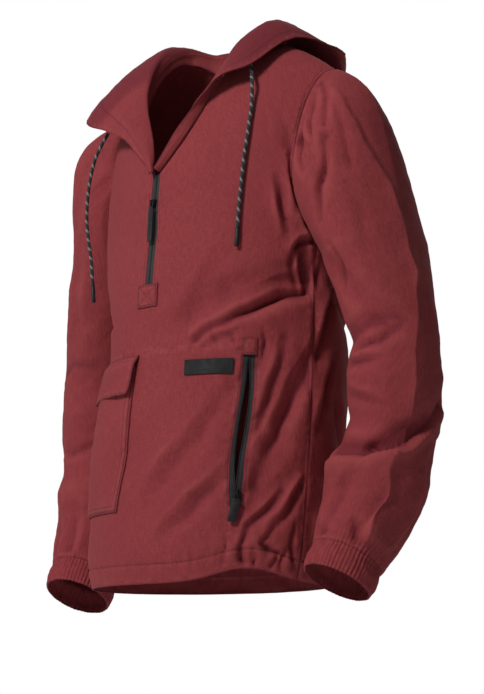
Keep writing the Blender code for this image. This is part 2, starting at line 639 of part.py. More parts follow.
def half_neckline(front, front_normals, back, back_normals, side):
    """Points and normals of the neck seam from the foot of the V to the centre back, on one side."""
    neck = FRONT_COLUMNS.index(NECK_ANGLE) + 1
    centre = len(FRONT_COLUMNS)
    middle = back.shape[1] // 2
    behind = len(BACK_NECK_COLUMNS) + 1
    if side > 0:
        front_cols = list(range(centre, centre + neck))
        back_cols = list(range(middle - behind, middle + 1))[1:]
    else:
        front_cols = list(range(centre - 1, centre - 1 - neck, -1))
        back_cols = list(range(middle + behind, middle - 1, -1))[1:]
    points = np.concatenate([front[-1, front_cols], back[-1, back_cols]])
    normals = np.concatenate([front_normals[-1, front_cols], back_normals[-1, back_cols]])
    return points, normals


def hood_grid(front, front_normals, back, back_normals):
    """Columns from the left foot of the V round the back to the right foot; rows from seam to edge."""
    halves = []
    for side in (1, -1):
        seam, seam_normals = half_neckline(front, front_normals, back, back_normals, side)
        fronts = HOOD_LEFT_FRONT if side > 0 else HOOD_RIGHT_FRONT
        rows = [(place, [seam[int(place)] + point for point in points])
                for place, points in hood_rows(fronts, 1)]
        rows += hood_rows(HOOD_LEFT_SHOULDER if side > 0 else HOOD_RIGHT_SHOULDER, 1)
        rows += hood_rows(HOOD_BEHIND, side)
        at = np.array(HOOD_PLACES)
        low = np.minimum(at.astype(int), len(seam) - 2)
        part = (at - low)[:, None]
        base = seam[low] * (1 - part) + seam[low + 1] * part
        base_normals = seam_normals[low] * (1 - part) + seam_normals[low + 1] * part
        places = [row[0] for row in rows]
        nets = [through(places, [row[1][i] for row in rows], at) for i in range(4)]
        lines = np.stack([base] + nets, axis=0)
        knots = np.linspace(0, 1, 5)
        steps = np.linspace(0, 1, HOOD_STEPS)
        half = through(knots, lines, steps)
        half[0] = base
        halves.append((half, base_normals))
    points = np.concatenate([halves[0][0], halves[1][0][:, -2::-1]], axis=1)
    neck_normals = np.concatenate([halves[0][1], halves[1][1][-2::-1]], axis=0)
    normals = grid_normals(points)
    normals[0] = unit(neck_normals + normals[0])
    return points, normals


# ---------------------------------------------------------------- pieces that lie on a panel
def grid_place(points, angles, angle, z):
    """Fractional rows and columns of the front grid at angles and heights."""
    angle, z = np.broadcast_arrays(np.asarray(angle, dtype=float), np.asarray(z, dtype=float))
    col = np.interp(angle, angles, np.arange(len(angles)))
    row = np.empty_like(col)
    for index in np.ndindex(col.shape):
        low = min(int(col[index]), len(angles) - 2)
        part = col[index] - low
        heights = points[:, low, 2] * (1 - part) + points[:, low + 1, 2] * part
        row[index] = np.interp(z[index], heights, np.arange(len(heights)))
    return row, col


def laid(name, panel, angle, z, lift, finish, wall=CLOTH, keep=None):
    """A piece on the front: its outer skin stands the lift, plus its own wall, off the front's skin."""
    points, normals, angles = panel
    row, col = grid_place(points, angles, angle, z)
    ground = at_grid(points, row, col)
    facing = unit(at_grid(normals, row, col))
    lift = np.broadcast_to(np.asarray(lift, dtype=float), row.shape)[..., None]
    skin = ground + facing * (lift + wall)
    own = unit(grid_normals(skin) + facing)
    return shell(name, skin, own, finish, keep=keep, wall=wall, gap=0.0)


def panel_lines(start, end):
    """Angles from start to end that take in the front's own columns between them."""
    lines = sorted([-float(a) for a in FRONT_COLUMNS] + [float(a) for a in FRONT_COLUMNS])
    return np.array([start] + [a for a in lines if start + 0.8 < a < end - 0.8] + [end])


def slanted(foot, top, heights):
    """Angles and heights of a piece whose columns go from the foot's angles to the top's."""
    share = ((heights - heights[0]) / (heights[-1] - heights[0]))[:, None]
    angle = foot * (1 - share) + top * share
    return angle, np.broadcast_to(heights[:, None], angle.shape)


def make_patch(panel, finish):
    """The square of cloth at the foot of the zip."""
    angle, z = np.meshgrid(panel_lines(-PATCH_HALF_ANGLE, PATCH_HALF_ANGLE), PATCH_ROWS)
    laid("zip_patch", panel, angle, z, LAY_GAP, finish)


def make_cargo_pocket(panel, finish):
    """The patch pocket: its mouth is at the top, and it stands a little off the front."""
    top = panel_lines(-53.6, -5.0)
    foot = np.minimum(top, -9.0 - (top[-1] - top) * 0.55)
    top, foot = (np.concatenate([[line[0], line[0] + POCKET_EDGE], line[1:-1],
                                 [line[-1] - POCKET_EDGE, line[-1]]]) for line in (top, foot))
    angle, z = slanted(foot, top, np.array(POCKET_ROWS))
    lift = np.full(angle.shape, POCKET_STAND_OFF)
    lift[0] = LAY_GAP
    lift[:, 0] = LAY_GAP
    lift[:, -1] = LAY_GAP
    laid("cargo_pocket", panel, angle, z, lift, finish)


def make_pocket_flap(panel, finish):
    """The flap over the pocket's mouth, fixed along its top and standing off at its foot."""
    top = panel_lines(-55.0, -3.5)
    foot = np.minimum(top, -8.5 - (top[-1] - top) * 0.45)
    angle, z = slanted(foot, top, np.array(FLAP_ROWS))
    stand_off = np.array(FLAP_STAND_OFF)[:, None]
    laid("pocket_flap", panel, angle, z, np.broadcast_to(stand_off, angle.shape), finish)


def make_label(panel, finish):
    """A bare tab just under the waist seam."""
    angle, z = np.meshgrid(panel_lines(*LABEL_ANGLES), LABEL_ROWS)
    laid("waist_label", panel, angle, z, LAY_GAP, finish, wall=LABEL_THICKNESS)


def make_pocket_welt(panel, finish):
    """The small stitched box over the head of the pocket zip."""
    start, end = WELT_ANGLES
    columns = (start, POCKET_FRONT_ANGLE, POCKET_ZIP_ANGLE, POCKET_SIDE_ANGLE, end)
    angle, z = np.meshgrid(columns, WELT_ROWS)
    laid("pocket_welt", panel, angle, z, LAY_GAP, finish)


def tape(name, panel, columns, heights, finish):
    """One half of a zip's tape, under the panel. Each column is an angle, which may change with height."""
    angle = np.stack([np.broadcast_to(np.asarray(c, dtype=float), len(heights)) for c in columns], axis=1)
    z = np.broadcast_to(np.array(heights)[:, None], angle.shape)
    laid(name, panel, angle, z, -(CLOTH + LAY_GAP + ZIP_TAPE), finish, wall=ZIP_TAPE)


def make_tapes(panel, finish):
    """The four tapes: closed under the front slider, spread where the pocket's zip is open."""
    gap = np.degrees(np.array(FRONT_ZIP_HALF_GAP) / BODY_GIRTH)
    tape("front_zip_tape_left", panel, (gap, ZIP_SLOT_ANGLE, FRONT_TAPE_EDGE), FRONT_ZIP_ROWS, finish)
    tape("front_zip_tape_right", panel, (-FRONT_TAPE_EDGE, -ZIP_SLOT_ANGLE, -gap), FRONT_ZIP_ROWS, finish)
    gap = np.degrees(np.array(POCKET_ZIP_HALF_GAP) / BODY_GIRTH)
    front = (POCKET_FRONT_ANGLE - TAPE_MARGIN, POCKET_FRONT_ANGLE, POCKET_ZIP_ANGLE - gap)
    side = (POCKET_ZIP_ANGLE + gap, POCKET_SIDE_ANGLE, POCKET_SIDE_ANGLE + TAPE_MARGIN)
    tape("pocket_zip_tape_front", panel, front, POCKET_ZIP_ROWS, finish)
    tape("pocket_zip_tape_side", panel, side, POCKET_ZIP_ROWS, finish)


def make_pocket_bag(panel, finish):
    """The bag behind the pocket zip, shaped like a shallow tray that opens towards the zip."""
    angle, z = np.meshgrid(BAG_COLUMNS, BAG_ROWS)
    deep = np.full(angle.shape, BAG_DEPTH)
    deep[1, :] = deep[-2, :] = deep[:, 1] = deep[:, -2] = BAG_SHOULDER
    deep[0, :] = deep[-1, :] = deep[:, 0] = deep[:, -1] = CLOTH + LAY_GAP
    laid("pocket_bag", panel, angle, z, -deep - BAG_WALL, finish, wall=BAG_WALL)


# ---------------------------------------------------------------- sliders and pull tabs
def local_frame(panel, angle, z):
    """Ground point of the front, and directions out of it, up along the zip, and to its side."""
    points, normals, angles = panel
    row, col = grid_place(points, angles, [angle], [z])
    ground = at_grid(points, row, col)[0]
    up = unit(at_grid(points, row + 0.4, col)[0] - at_grid(points, row - 0.4, col)[0])
    side = unit(np.cross(up, at_grid(normals, row, col)[0]))
    return Vector(ground), Vector(np.cross(side, up)), Vector(up), Vector(side)


def placed(frame, points):
    """Points given sideways, up and out of a local frame."""
    ground, out, up, side = frame
    return [ground + side * x + up * y + out * z for x, y, z in points]


def solid_from_outline(name, outline, low, high, frame, finish, axis="out", holes=(), origin=None, parent=None):
    """A plate: an outline pulled from low to high along one axis of its frame, with holes left through it."""
    build = bmesh.new()
    loops = [outline] + list(holes)

    def spot(point, level):
        if axis == "out":
            return (point[0], point[1], level)
        return (level, point[0], point[1])

    layers = []
    for level in (low, high):
        edges = []
        for loop in loops:
            verts = [build.verts.new(placed(frame, [spot(point, level)])[0]) for point in loop]
            edges += [build.edges.new((verts[i], verts[(i + 1) % len(verts)])) for i in range(len(verts))]
        bmesh.ops.triangle_fill(build, edges=edges, use_beauty=True)
        layers.append(edges)
    for first, second in zip(*layers):
        a, b = first.verts
        c, d = second.verts
        build.faces.new([a, b, d, c])
    bmesh.ops.recalc_face_normals(build, faces=build.faces[:])
    bmesh.ops.triangulate(build, faces=build.faces[:])
    if origin:
        bmesh.ops.translate(build, vec=-origin, verts=build.verts[:])
    mesh = bpy.data.meshes.new(name)
    build.to_mesh(mesh)
    build.free()
    made = add_object(name, mesh, finish)
    if origin:
        made.location = origin
    return made


def rounded_box(half_width, foot, head, radius, steps=3):
    """Outline of an upright strip with rounded corners."""
    corners = ((half_width - radius, head - radius, 0), (-half_width + radius, head - radius, 90),
               (-half_width + radius, foot + radius, 180), (half_width - radius, foot + radius, 270))
    points = []
    for x, y, first in corners:
        for i in range(steps + 1):
            turn = math.radians(first + 90 * i / steps)
            points.append((x + radius * math.cos(turn), y + radius * math.sin(turn)))
    return points


SLIDER_WIDTH = 0.0080
SLIDER_LENGTH = 0.0110
SLIDER_FOOT = -0.0021
SLIDER_TOP = 0.0034
BRIDGE_WIDTH = 0.0024
BRIDGE_BAR = 0.0011
TUNNEL_LENGTH = 0.0050
TUNNEL_HEIGHT = 0.0030
CROSSBAR = 0.0013


def make_slider(name, panel, angle, z, finish):
    """A slider: a body over the tapes' edges, and a bridge on it that holds the pull."""
    frame = local_frame(panel, angle, z)
    half_width = SLIDER_WIDTH / 2
    half_height = SLIDER_LENGTH / 2
    outline = [(half_width * 0.55, -half_height), (half_width, -half_height * 0.55),
               (half_width, half_height * 0.55), (half_width * 0.7, half_height),
               (-half_width * 0.7, half_height), (-half_width, half_height * 0.55),
               (-half_width, -half_height * 0.55), (-half_width * 0.55, -half_height)]
    base = solid_from_outline(name, outline, SLIDER_FOOT, SLIDER_TOP, frame, finish)
    bridge = solid_from_outline(name + "_bridge", bridge_outline(SLIDER_TOP), -BRIDGE_WIDTH / 2,
                                BRIDGE_WIDTH / 2, frame, finish, axis="side")
    union = base.modifiers.new("bridge", "BOOLEAN")
    union.operation = "UNION"
    union.object = bridge
    bridge.hide_render = True
    bridge.display_type = "WIRE"
    return frame


def bridge_outline(high):
    """Side view of the bridge: an arch whose feet go into the slider's body."""
    half = TUNNEL_LENGTH / 2
    sink = 0.0008
    top = high + TUNNEL_HEIGHT
    return [(-half - BRIDGE_BAR, high - sink), (-half, high - sink), (-half, top), (half, top),
            (half, high - sink), (half + BRIDGE_BAR, high - sink), (half + BRIDGE_BAR, top),
            (half, top + BRIDGE_BAR), (-half, top + BRIDGE_BAR), (-half - BRIDGE_BAR, top)]


def make_pull(name, frame, half_width, length, finish):
    """A pull tab that hangs from the bridge by its crossbar; its origin is on the crossbar's axis."""
    ground, out, up, side = frame
    axis_out = SLIDER_TOP + TUNNEL_HEIGHT / 2
    window = 0.0020
    window_foot = -0.0070
    head = CROSSBAR / 2
    outline = rounded_box(half_width, -length, head, 0.0024)
    hole = [(-window, window_foot), (window, window_foot), (window, -head), (-window, -head)]
    return solid_from_outline(name, outline, axis_out - CROSSBAR / 2, axis_out + CROSSBAR / 2, frame, finish,
                              holes=[hole], origin=ground + out * axis_out)


# ---------------------------------------------------------------- drawcords
# Each cord leaves the hood's outer skin at a column and row of the hood's grid, and hangs through these.
CORD_LEFT_EXIT = (7, 10)
CORD_RIGHT_EXIT = (6, -10)
CORD_LEFT_ROUTE = ((0.136, -0.080, -0.064), (0.139, -0.084, -0.090), (0.141, -0.092, -0.125),
                   (0.141, -0.100, -0.165), (0.140, -0.1050, -0.205), (0.138, -0.1075, -0.240),
                   (0.137, -0.1085, -0.262))
CORD_RIGHT_ROUTE = ((-0.133, -0.0930, -0.078), (-0.143, -0.0985, -0.096), (-0.156, -0.1015, -0.118),
                    (-0.1655, -0.1025, -0.145), (-0.171, -0.1030, -0.175), (-0.1725, -0.1030, -0.205),
                    (-0.169, -0.1025, -0.235), (-0.1635, -0.1020, -0.265), (-0.160, -0.1018, -0.300))
CORD_GAP = 0.0008
CORD_RISE = 0.005
CORD_POINT_STEP = 0.010
CORD_FIRST_STEPS = (0.0, 0.003, 0.006, 0.010, 0.015)


def cord_points(exit_place, route, hood, hood_normals):
    """Points along a cord that comes square out of the hood's skin and then hangs along its route."""
    row, col = exit_place
    col = col if col > 0 else hood.shape[1] - 1 + col
    out = hood_normals[row, col]
    start = hood[row, col] + out * CORD_GAP
    route = np.array([start, start + out * CORD_RISE, *route])
    knots = np.concatenate([[0], np.cumsum(np.linalg.norm(np.diff(route, axis=0), axis=1))])
    rest = np.arange(CORD_FIRST_STEPS[-1] + CORD_POINT_STEP, knots[-1] - CORD_POINT_STEP / 2, CORD_POINT_STEP)
    return through(knots, route, np.concatenate([CORD_FIRST_STEPS, rest, knots[-1:]]))


def make_cord(name, tip_name, points, finish, tip_finish):
    """A cord's tube, and the moulded tip on its free end."""
    data = bpy.data.curves.new(name, "CURVE")
    data.dimensions = "3D"
    data.bevel_depth = CORD_DIAMETER / 2
    data.bevel_resolution = 2
    data.use_fill_caps = True
    spline = data.splines.new("POLY")
    spline.points.add(len(points) - 1)
    for spot, point in zip(spline.points, points):
        spot.co = (*point, 1.0)
    data.materials.append(finish)
    bpy.context.scene.collection.objects.link(bpy.data.objects.new(name, data))
    along = unit(points[-1] - points[-2])
    start = points[-1] + along * SEAM_GAP
    build = bmesh.new()
    widths = ((0.0, 0.80), (0.08, 1.0), (0.90, 0.94), (1.0, 0.70))
    sides = 12
    rings = []
    for share, wide in widths:
        turn = np.arange(sides) * 2 * math.pi / sides
        across = unit(np.cross(along, np.array([0.0, 1.0, 0.0])))
        other = np.cross(along, across)
        centre = start + along * TIP_LENGTH * share
        radius = TIP_DIAMETER / 2 * wide
        rings.append([build.verts.new(centre + radius * (math.cos(t) * across + math.sin(t) * other))
                      for t in turn])
    for first, second in zip(rings, rings[1:]):
        for i in range(sides):
            j = (i + 1) % sides
            build.faces.new([first[i], first[j], second[j], second[i]])
    build.faces.new(rings[0])
    build.faces.new(rings[-1])
    bmesh.ops.recalc_face_normals(build, faces=build.faces[:])
    bmesh.ops.triangulate(build, faces=build.faces[:])
    mesh = bpy.data.meshes.new(tip_name)
    build.to_mesh(mesh)
    build.free()
    add_object(tip_name, mesh, tip_finish)


# ---------------------------------------------------------------- the whole garment
def main():
    for old in list(bpy.data.objects):
        bpy.data.objects.remove(old, do_unlink=True)
    red = material("red_cloth", RED, 0.85)
    red_inside = material("red_cloth_inside", RED_DARK, 0.90)
    tape_cloth = material("zip_tape", TAPE_BLACK, 0.80)
    charcoal = material("charcoal_rubber", CHARCOAL, 0.55)
    metal = material("dark_metal", METAL_DARK, 0.40, 0.6)
    cord_finish = material("cord", CHARCOAL, 0.75)

    front, front_normals, angles, back, back_normals = body_grids()
    sleeve, sleeve_normals = sleeve_grid(front, front_normals, back, back_normals)
    mirror_edges(front_normals, back_normals)
    hood, hood_normals = hood_grid(front, front_normals, back, back_normals)
    neck_edges(front_normals, back_normals, hood_normals)

    upper, lower = front_masks(angles)
    shell("front_upper", front, front_normals, red, keep=upper)
    shell("front_lower", front, front_normals, red, keep=lower)
    shell("back", back, back_normals, red)
    cuff, cuff_normals = cuff_grid()
    clear_armpit(sleeve)
    shell("sleeve_left", sleeve, sleeve_normals, red, wrap=True)
    shell("sleeve_right", *swelled(*mirrored(sleeve, sleeve_normals)), red, wrap=True)
    shell("cuff_left", cuff, cuff_normals, red, wrap=True)
    shell("cuff_right", *mirrored(cuff, cuff_normals), red, wrap=True)
    halves = np.zeros((hood.shape[0] - 1, hood.shape[1] - 1), dtype=bool)
    middle = len(HOOD_PLACES) - 1
    halves[:, :middle] = True
    shell("hood_left", hood, hood_normals, red, keep=halves, wall=HOOD_WALL, gap=NECK_GAP)
    shell("hood_right", hood, hood_normals, red, keep=~halves, wall=HOOD_WALL, gap=NECK_GAP)

    panel = (front, grid_normals(front), angles)
    make_patch(panel, red)
    make_cargo_pocket(panel, red)
    make_pocket_flap(panel, red)
    make_label(panel, charcoal)
    make_pocket_welt(panel, red)
    make_tapes(panel, tape_cloth)
    make_pocket_bag(panel, red_inside)
    frame = make_slider("front_zip_slider", panel, 0.0, -0.215, metal)
    make_pull("front_zip_pull", frame, 0.0046, 0.054, charcoal)
    frame = make_slider("pocket_zip_slider", panel, POCKET_ZIP_ANGLE, -0.616, metal)
    make_pull("pocket_zip_pull", frame, 0.0058, 0.038, charcoal)
    points = cord_points(CORD_LEFT_EXIT, CORD_LEFT_ROUTE, hood, hood_normals)
    make_cord("drawcord_left", "cord_tip_left", points, cord_finish, charcoal)
    points = cord_points(CORD_RIGHT_EXIT, CORD_RIGHT_ROUTE, hood, hood_normals)
    make_cord("drawcord_right", "cord_tip_right", points, cord_finish, charcoal)


def mirror_edges(front_normals, back_normals):
    """Copy the left armhole's shared normals to the right armhole."""
    flip = np.array([-1.0, 1.0, 1.0])
    pit = len(LOWER_ROWS) - 1
    front_normals[pit:, 0] = front_normals[pit:, -1] * flip
    back_normals[pit:, -1] = back_normals[pit:, 0] * flip


def neck_edges(front_normals, back_normals, hood_normals):
    """Give the panels the normals that the hood has along the neck seam."""
    neck = FRONT_COLUMNS.index(NECK_ANGLE)
    centre = len(FRONT_COLUMNS)
    middle = back_normals.shape[1] // 2
    behind = len(BACK_NECK_COLUMNS) + 1
    last = hood_normals.shape[1] - 1
    for i in range(neck + 1):
        front_normals[-1, centre + i] = hood_normals[0, 2 * i]
        front_normals[-1, centre - 1 - i] = hood_normals[0, last - 2 * i]
    for i in range(behind + 1):
        back_normals[-1, middle - behind + i] = hood_normals[0, 2 * (neck + i)]
        back_normals[-1, middle + behind - i] = hood_normals[0, last - 2 * (neck + i)]


main()
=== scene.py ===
"""Hooded half-zip anorak: the finished cloth, zips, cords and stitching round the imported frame.

Metres, +Z up. The wearer faces -Y and the wearer's left is +X. Every piece of cloth is a fine grid
of points on its outer side, folded and crumpled there, and given its thickness inwards.
"""

import json
import logging
import math
from dataclasses import dataclass
from enum import Enum
from typing import Iterable, Sequence

import bpy
import numpy as np
from mathutils import Matrix, Vector

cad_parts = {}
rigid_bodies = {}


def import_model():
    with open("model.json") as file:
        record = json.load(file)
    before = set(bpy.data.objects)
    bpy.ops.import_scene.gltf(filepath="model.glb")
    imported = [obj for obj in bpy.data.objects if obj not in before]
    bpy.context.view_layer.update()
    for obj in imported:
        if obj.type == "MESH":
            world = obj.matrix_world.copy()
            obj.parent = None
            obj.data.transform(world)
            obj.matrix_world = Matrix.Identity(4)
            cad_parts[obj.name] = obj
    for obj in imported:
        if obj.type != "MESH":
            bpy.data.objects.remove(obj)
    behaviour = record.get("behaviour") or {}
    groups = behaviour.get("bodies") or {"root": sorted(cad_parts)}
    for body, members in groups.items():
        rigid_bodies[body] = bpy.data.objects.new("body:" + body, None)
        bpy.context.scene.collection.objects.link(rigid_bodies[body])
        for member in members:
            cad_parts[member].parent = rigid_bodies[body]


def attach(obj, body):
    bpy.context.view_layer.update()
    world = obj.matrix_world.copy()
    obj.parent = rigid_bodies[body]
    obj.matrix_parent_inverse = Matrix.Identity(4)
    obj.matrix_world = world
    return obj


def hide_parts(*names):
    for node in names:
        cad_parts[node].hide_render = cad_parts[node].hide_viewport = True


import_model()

LOG = logging.getLogger("anorak")
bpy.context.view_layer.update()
Array = np.ndarray
Line = tuple[int, int, int, int]
MIRROR = np.array([-1.0, 1.0, 1.0])
FULL_TURN = 2 * math.pi


class Slot(str, Enum):
    """The frame's material slots."""

    CLOTH = "red_cloth"
    INSIDE = "red_cloth_inside"
    TAPE = "zip_tape"
    RUBBER = "charcoal_rubber"
    METAL = "dark_metal"
    CORD = "cord"


class Body(str, Enum):
    """The frame's bodies."""

    GARMENT = "garment"
    FRONT_PULL = "front_pull"
    POCKET_PULL = "pocket_pull"


class Side(Enum):
    """The wearer's sides."""

    LEFT = 1
    RIGHT = -1

    def __str__(self) -> str:
        """The side as it stands in a piece's name."""
        return self.name.lower()


class Lean(Enum):
    """The side of its own way to which a fold hangs over."""

    RIGHT = 1
    LEFT = -1


# ---------------------------------------------------------------- curves and numbers
def through(knots: Sequence, values: Sequence, at: Array) -> Array:
    """A smooth curve through values at knots.

    Args:
        knots: Rising places of the values.
        values: One value, point or line of points for each knot.
        at: Places to read the curve at.

    Returns:
        The curve's values there.
    """
    knots = np.asarray(knots, dtype=float)
    values = np.asarray(values, dtype=float)
    slopes = np.gradient(values, knots, axis=0)
    at = np.clip(np.asarray(at, dtype=float), knots[0], knots[-1])
    cell = np.clip(np.searchsorted(knots, at, side="right") - 1, 0, len(knots) - 2)
    tail = (1,) * (values.ndim - 1)
    span = knots[cell + 1] - knots[cell]
    t = ((at - knots[cell]) / span).reshape(at.shape + tail)
    span = span.reshape(at.shape + tail)
    start = values[cell] * (1 + 2 * t) * (1 - t) ** 2 + slopes[cell] * span * t * (1 - t) ** 2
    end = values[cell + 1] * t * t * (3 - 2 * t) - slopes[cell + 1] * span * t * t * (1 - t)
    return start + end


def unit(vectors: Array) -> Array:
    """The vectors at length one."""
    return vectors / np.maximum(np.linalg.norm(vectors, axis=-1, keepdims=True), 1e-12)


def dense(values: Sequence[float], step: float) -> list[float]:
    """The values in order, with more set evenly between them.

    Args:
        values: The values.
        step: The largest distance between two.

    Returns:
        All the values.
    """
    out = [float(values[0])]
    for a, b in zip(values, values[1:]):
        parts = max(1, math.ceil(abs(b - a) / step - 1e-9))
        out += [a + (b - a) * i / parts for i in range(1, parts + 1)]
    return out


def nearest(values: Array, wanted: float) -> int:
    """Where in the values the wanted one stands."""
    return int(np.argmin(np.abs(np.asarray(values) - wanted)))


def smooth(share: Array) -> Array:
    """A soft step from 0 to 1."""
    share = np.clip(share, 0.0, 1.0)
    return share * share * (3 - 2 * share)


def bell(off: Array) -> Array:
    """1 at nothing, and less on both sides."""
    return np.exp(-off ** 2)


def walk(points: Array) -> Array:
    """Distance from a line's start to each of its points."""
    return np.concatenate([[0.0], np.cumsum(np.linalg.norm(np.diff(points, axis=0), axis=1))])


def read(at: Array, knots: Array, points: Array) -> Array:
    """Points read straight between knots."""
    return np.stack([np.interp(at, knots, points[:, i]) for i in range(3)], axis=1)


def split(rows: Sequence[Sequence[float]]) -> tuple[Array, Array]:
    """The first column of a table, and the others."""
    return np.array(rows)[:, 0], np.array(rows)[:, 1:]


def waves(points: Array, seed: int, length: float, stretch: Sequence[float] = (1, 1, 1)) -> Array:
    """A soft random height for every point, the same on each run and across every seam.

    Args:
        points: Points of any grid.
        seed: Chooses the pattern.
        length: Distance from crest to crest.
        stretch: How much longer the crests are along x, y and z.

    Returns:
        Heights of about -1 to 1.
    """
    source = np.random.default_rng(seed)
    total = np.zeros(points.shape[:-1])
    for _ in range(18):
        way = unit(source.normal(size=3)) * source.uniform(0.7, 1.4)
        phase = source.uniform(0, FULL_TURN)
        total += np.cos(points @ (way * FULL_TURN / (length * np.array(stretch))) + phase)
    return total / 6.0


def grid_normals(points: Array, wrap: bool = False) -> Array:
    """Unit normals of a grid whose rows run up and whose columns run to the wearer's left in front.

    Args:
        points: The grid.
        wrap: True where its columns go all the way round.

    Returns:
        The normals.
    """
    if wrap:
        across = np.roll(points, -1, axis=1) - np.roll(points, 1, axis=1)
    else:
        across = np.gradient(points, axis=1)
    return unit(np.cross(across, np.gradient(points, axis=0)))


def at_grid(values: Array, row: Array, col: Array) -> Array:
    """Values of a grid at fractional rows and columns.

    Args:
        values: The grid.
        row: The rows.
        col: The columns.

    Returns:
        The values there.
    """
    row = np.clip(row, 0, values.shape[0] - 1)
    col = np.clip(col, 0, values.shape[1] - 1)
    r = np.minimum(row.astype(int), values.shape[0] - 2)
    c = np.minimum(col.astype(int), values.shape[1] - 2)
    u, v = (row - r)[..., None], (col - c)[..., None]
    low = values[r, c] * (1 - v) + values[r, c + 1] * v
    high = values[r + 1, c] * (1 - v) + values[r + 1, c + 1] * v
    return low * (1 - u) + high * u


def shares(shape: tuple[int, int]) -> tuple[Array, Array]:
    """Shares of a grid's width and height at each column and row."""
    return np.linspace(0, 1, shape[1])[None, :], np.linspace(0, 1, shape[0])[:, None]


# ---------------------------------------------------------------- folds
@dataclass(frozen=True)
class Fold:
    """A crease that follows a line on a piece.

    Attributes:
        width: Half width of the trough.
        depth: Depth of the trough; a ridge is negative.
        form: 0 for a soft trough to 1 for a pressed crease, or the side to which it hangs over.
        line: Turns in degrees and heights along it.
    """

    width: float
    depth: float
    form: float | Lean
    line: Sequence[tuple[float, float]]

    def depths(self, turn: Array, z: Array, girth: float) -> Array:
        """Depth of this fold at every point.

        Args:
            turn: Turns of the points in degrees.
            z: Heights of the points.
            girth: Radius that makes a turn a distance.

        Returns:
            Depths in metres.
        """
        shape = np.broadcast(turn, z).shape
        best, side, place, beyond = (np.full(shape, value) for value in (1e9, 0.0, 0.0, 0.0))
        corners = np.array([(math.radians(t) * girth, h) for t, h in self.line])
        steps = np.linalg.norm(np.diff(corners, axis=0), axis=1)
        walked = np.concatenate([[0.0], np.cumsum(steps)]) / steps.sum()
        x = np.radians(turn) * girth
        for i, (a, b) in enumerate(zip(corners, corners[1:])):
            way = (b - a) / steps[i]
            along = (x - a[0]) * way[0] + (z - a[1]) * way[1]
            across = (x - a[0]) * way[1] - (z - a[1]) * way[0]
            held = np.clip(along, 0, steps[i])
            over = np.abs(along - held)
            last = ((along < 0) & (i == 0)) | ((along > steps[i]) & (i == len(steps) - 1))
            off = np.hypot(over, across)
            closer = off < best
            best = np.where(closer, off, best)
            side = np.where(closer, np.where(last, across, np.copysign(off, across)), side)
            beyond = np.where(closer, np.where(last, over, 0.0), beyond)
            place = np.where(closer, walked[i] + held * (walked[i + 1] - walked[i]) / steps[i], place)
        fade = (0.35 + 0.65 * np.sin(np.pi * np.clip(place, 0.04, 0.96))) * bell(beyond / self.width)
        if isinstance(self.form, Lean):
            leant = side * self.form.value / self.width
            crest = np.abs(leant + 1.1)
            ridge = 0.34 * bell(crest / 1.7) + 0.26 * np.exp(-crest / 0.7)
            return self.depth * fade * (bell(leant - 0.7) - ridge)
        pressed = np.exp(-1.5 * np.abs(side) / self.width)
        return self.depth * fade * (bell(side / self.width) * (1 - self.form) + pressed * self.form)


def creased(rows: Sequence, points: Array, turn: Array, girth: float, seed: int) -> Array:
    """Depth of folds whose lines wander a little and whose depth comes and goes.

    Args:
        rows: Width, depth, form and line of each fold.
        points: The points.
        turn: Turns of the points in degrees.
        girth: Radius that makes a turn a distance.
        seed: Chooses how they wander.

    Returns:
        Depths in metres.
    """
    turn = turn + np.degrees(WANDER * waves(points, seed, WANDER_LENGTH) / girth)
    z = points[..., 2] + WANDER * waves(points, seed + 1, WANDER_LENGTH)
    swell = np.clip(0.9 + 0.3 * waves(points, seed + 2, 0.07), 0.45, 1.3)
    return swell * sum(Fold(width, depth, form, line).depths(turn, z, girth)
                       for width, depth, form, *line in rows)


def straight_folds(rows: Sequence, turn: Array, z: Array, girth: float) -> Array:
    """Depth of the frame's own large folds.

    Args:
        rows: Turn and height at both ends, width and depth of each fold.
        turn: Turns of the points in degrees.
        z: Heights of the points.
        girth: Radius that makes a turn a distance.

    Returns:
        Depths in metres.
    """
    depth = np.zeros(np.broadcast(turn, z).shape)
    for turn_a, z_a, turn_b, z_b, width, deep in rows:
        across = np.radians(turn - turn_a) * girth
        up = z - z_a
        along = np.array([math.radians(turn_b - turn_a) * girth, z_b - z_a])
        length = float(np.hypot(*along))
        share = np.clip((across * along[0] + up * along[1]) / length ** 2, 0, 1)
        off = np.hypot(across - share * along[0], up - share * along[1])
        depth += deep * (0.45 + 0.55 * np.sin(np.pi * np.clip(share, 0.08, 0.92))) * bell(off / width)
    return depth


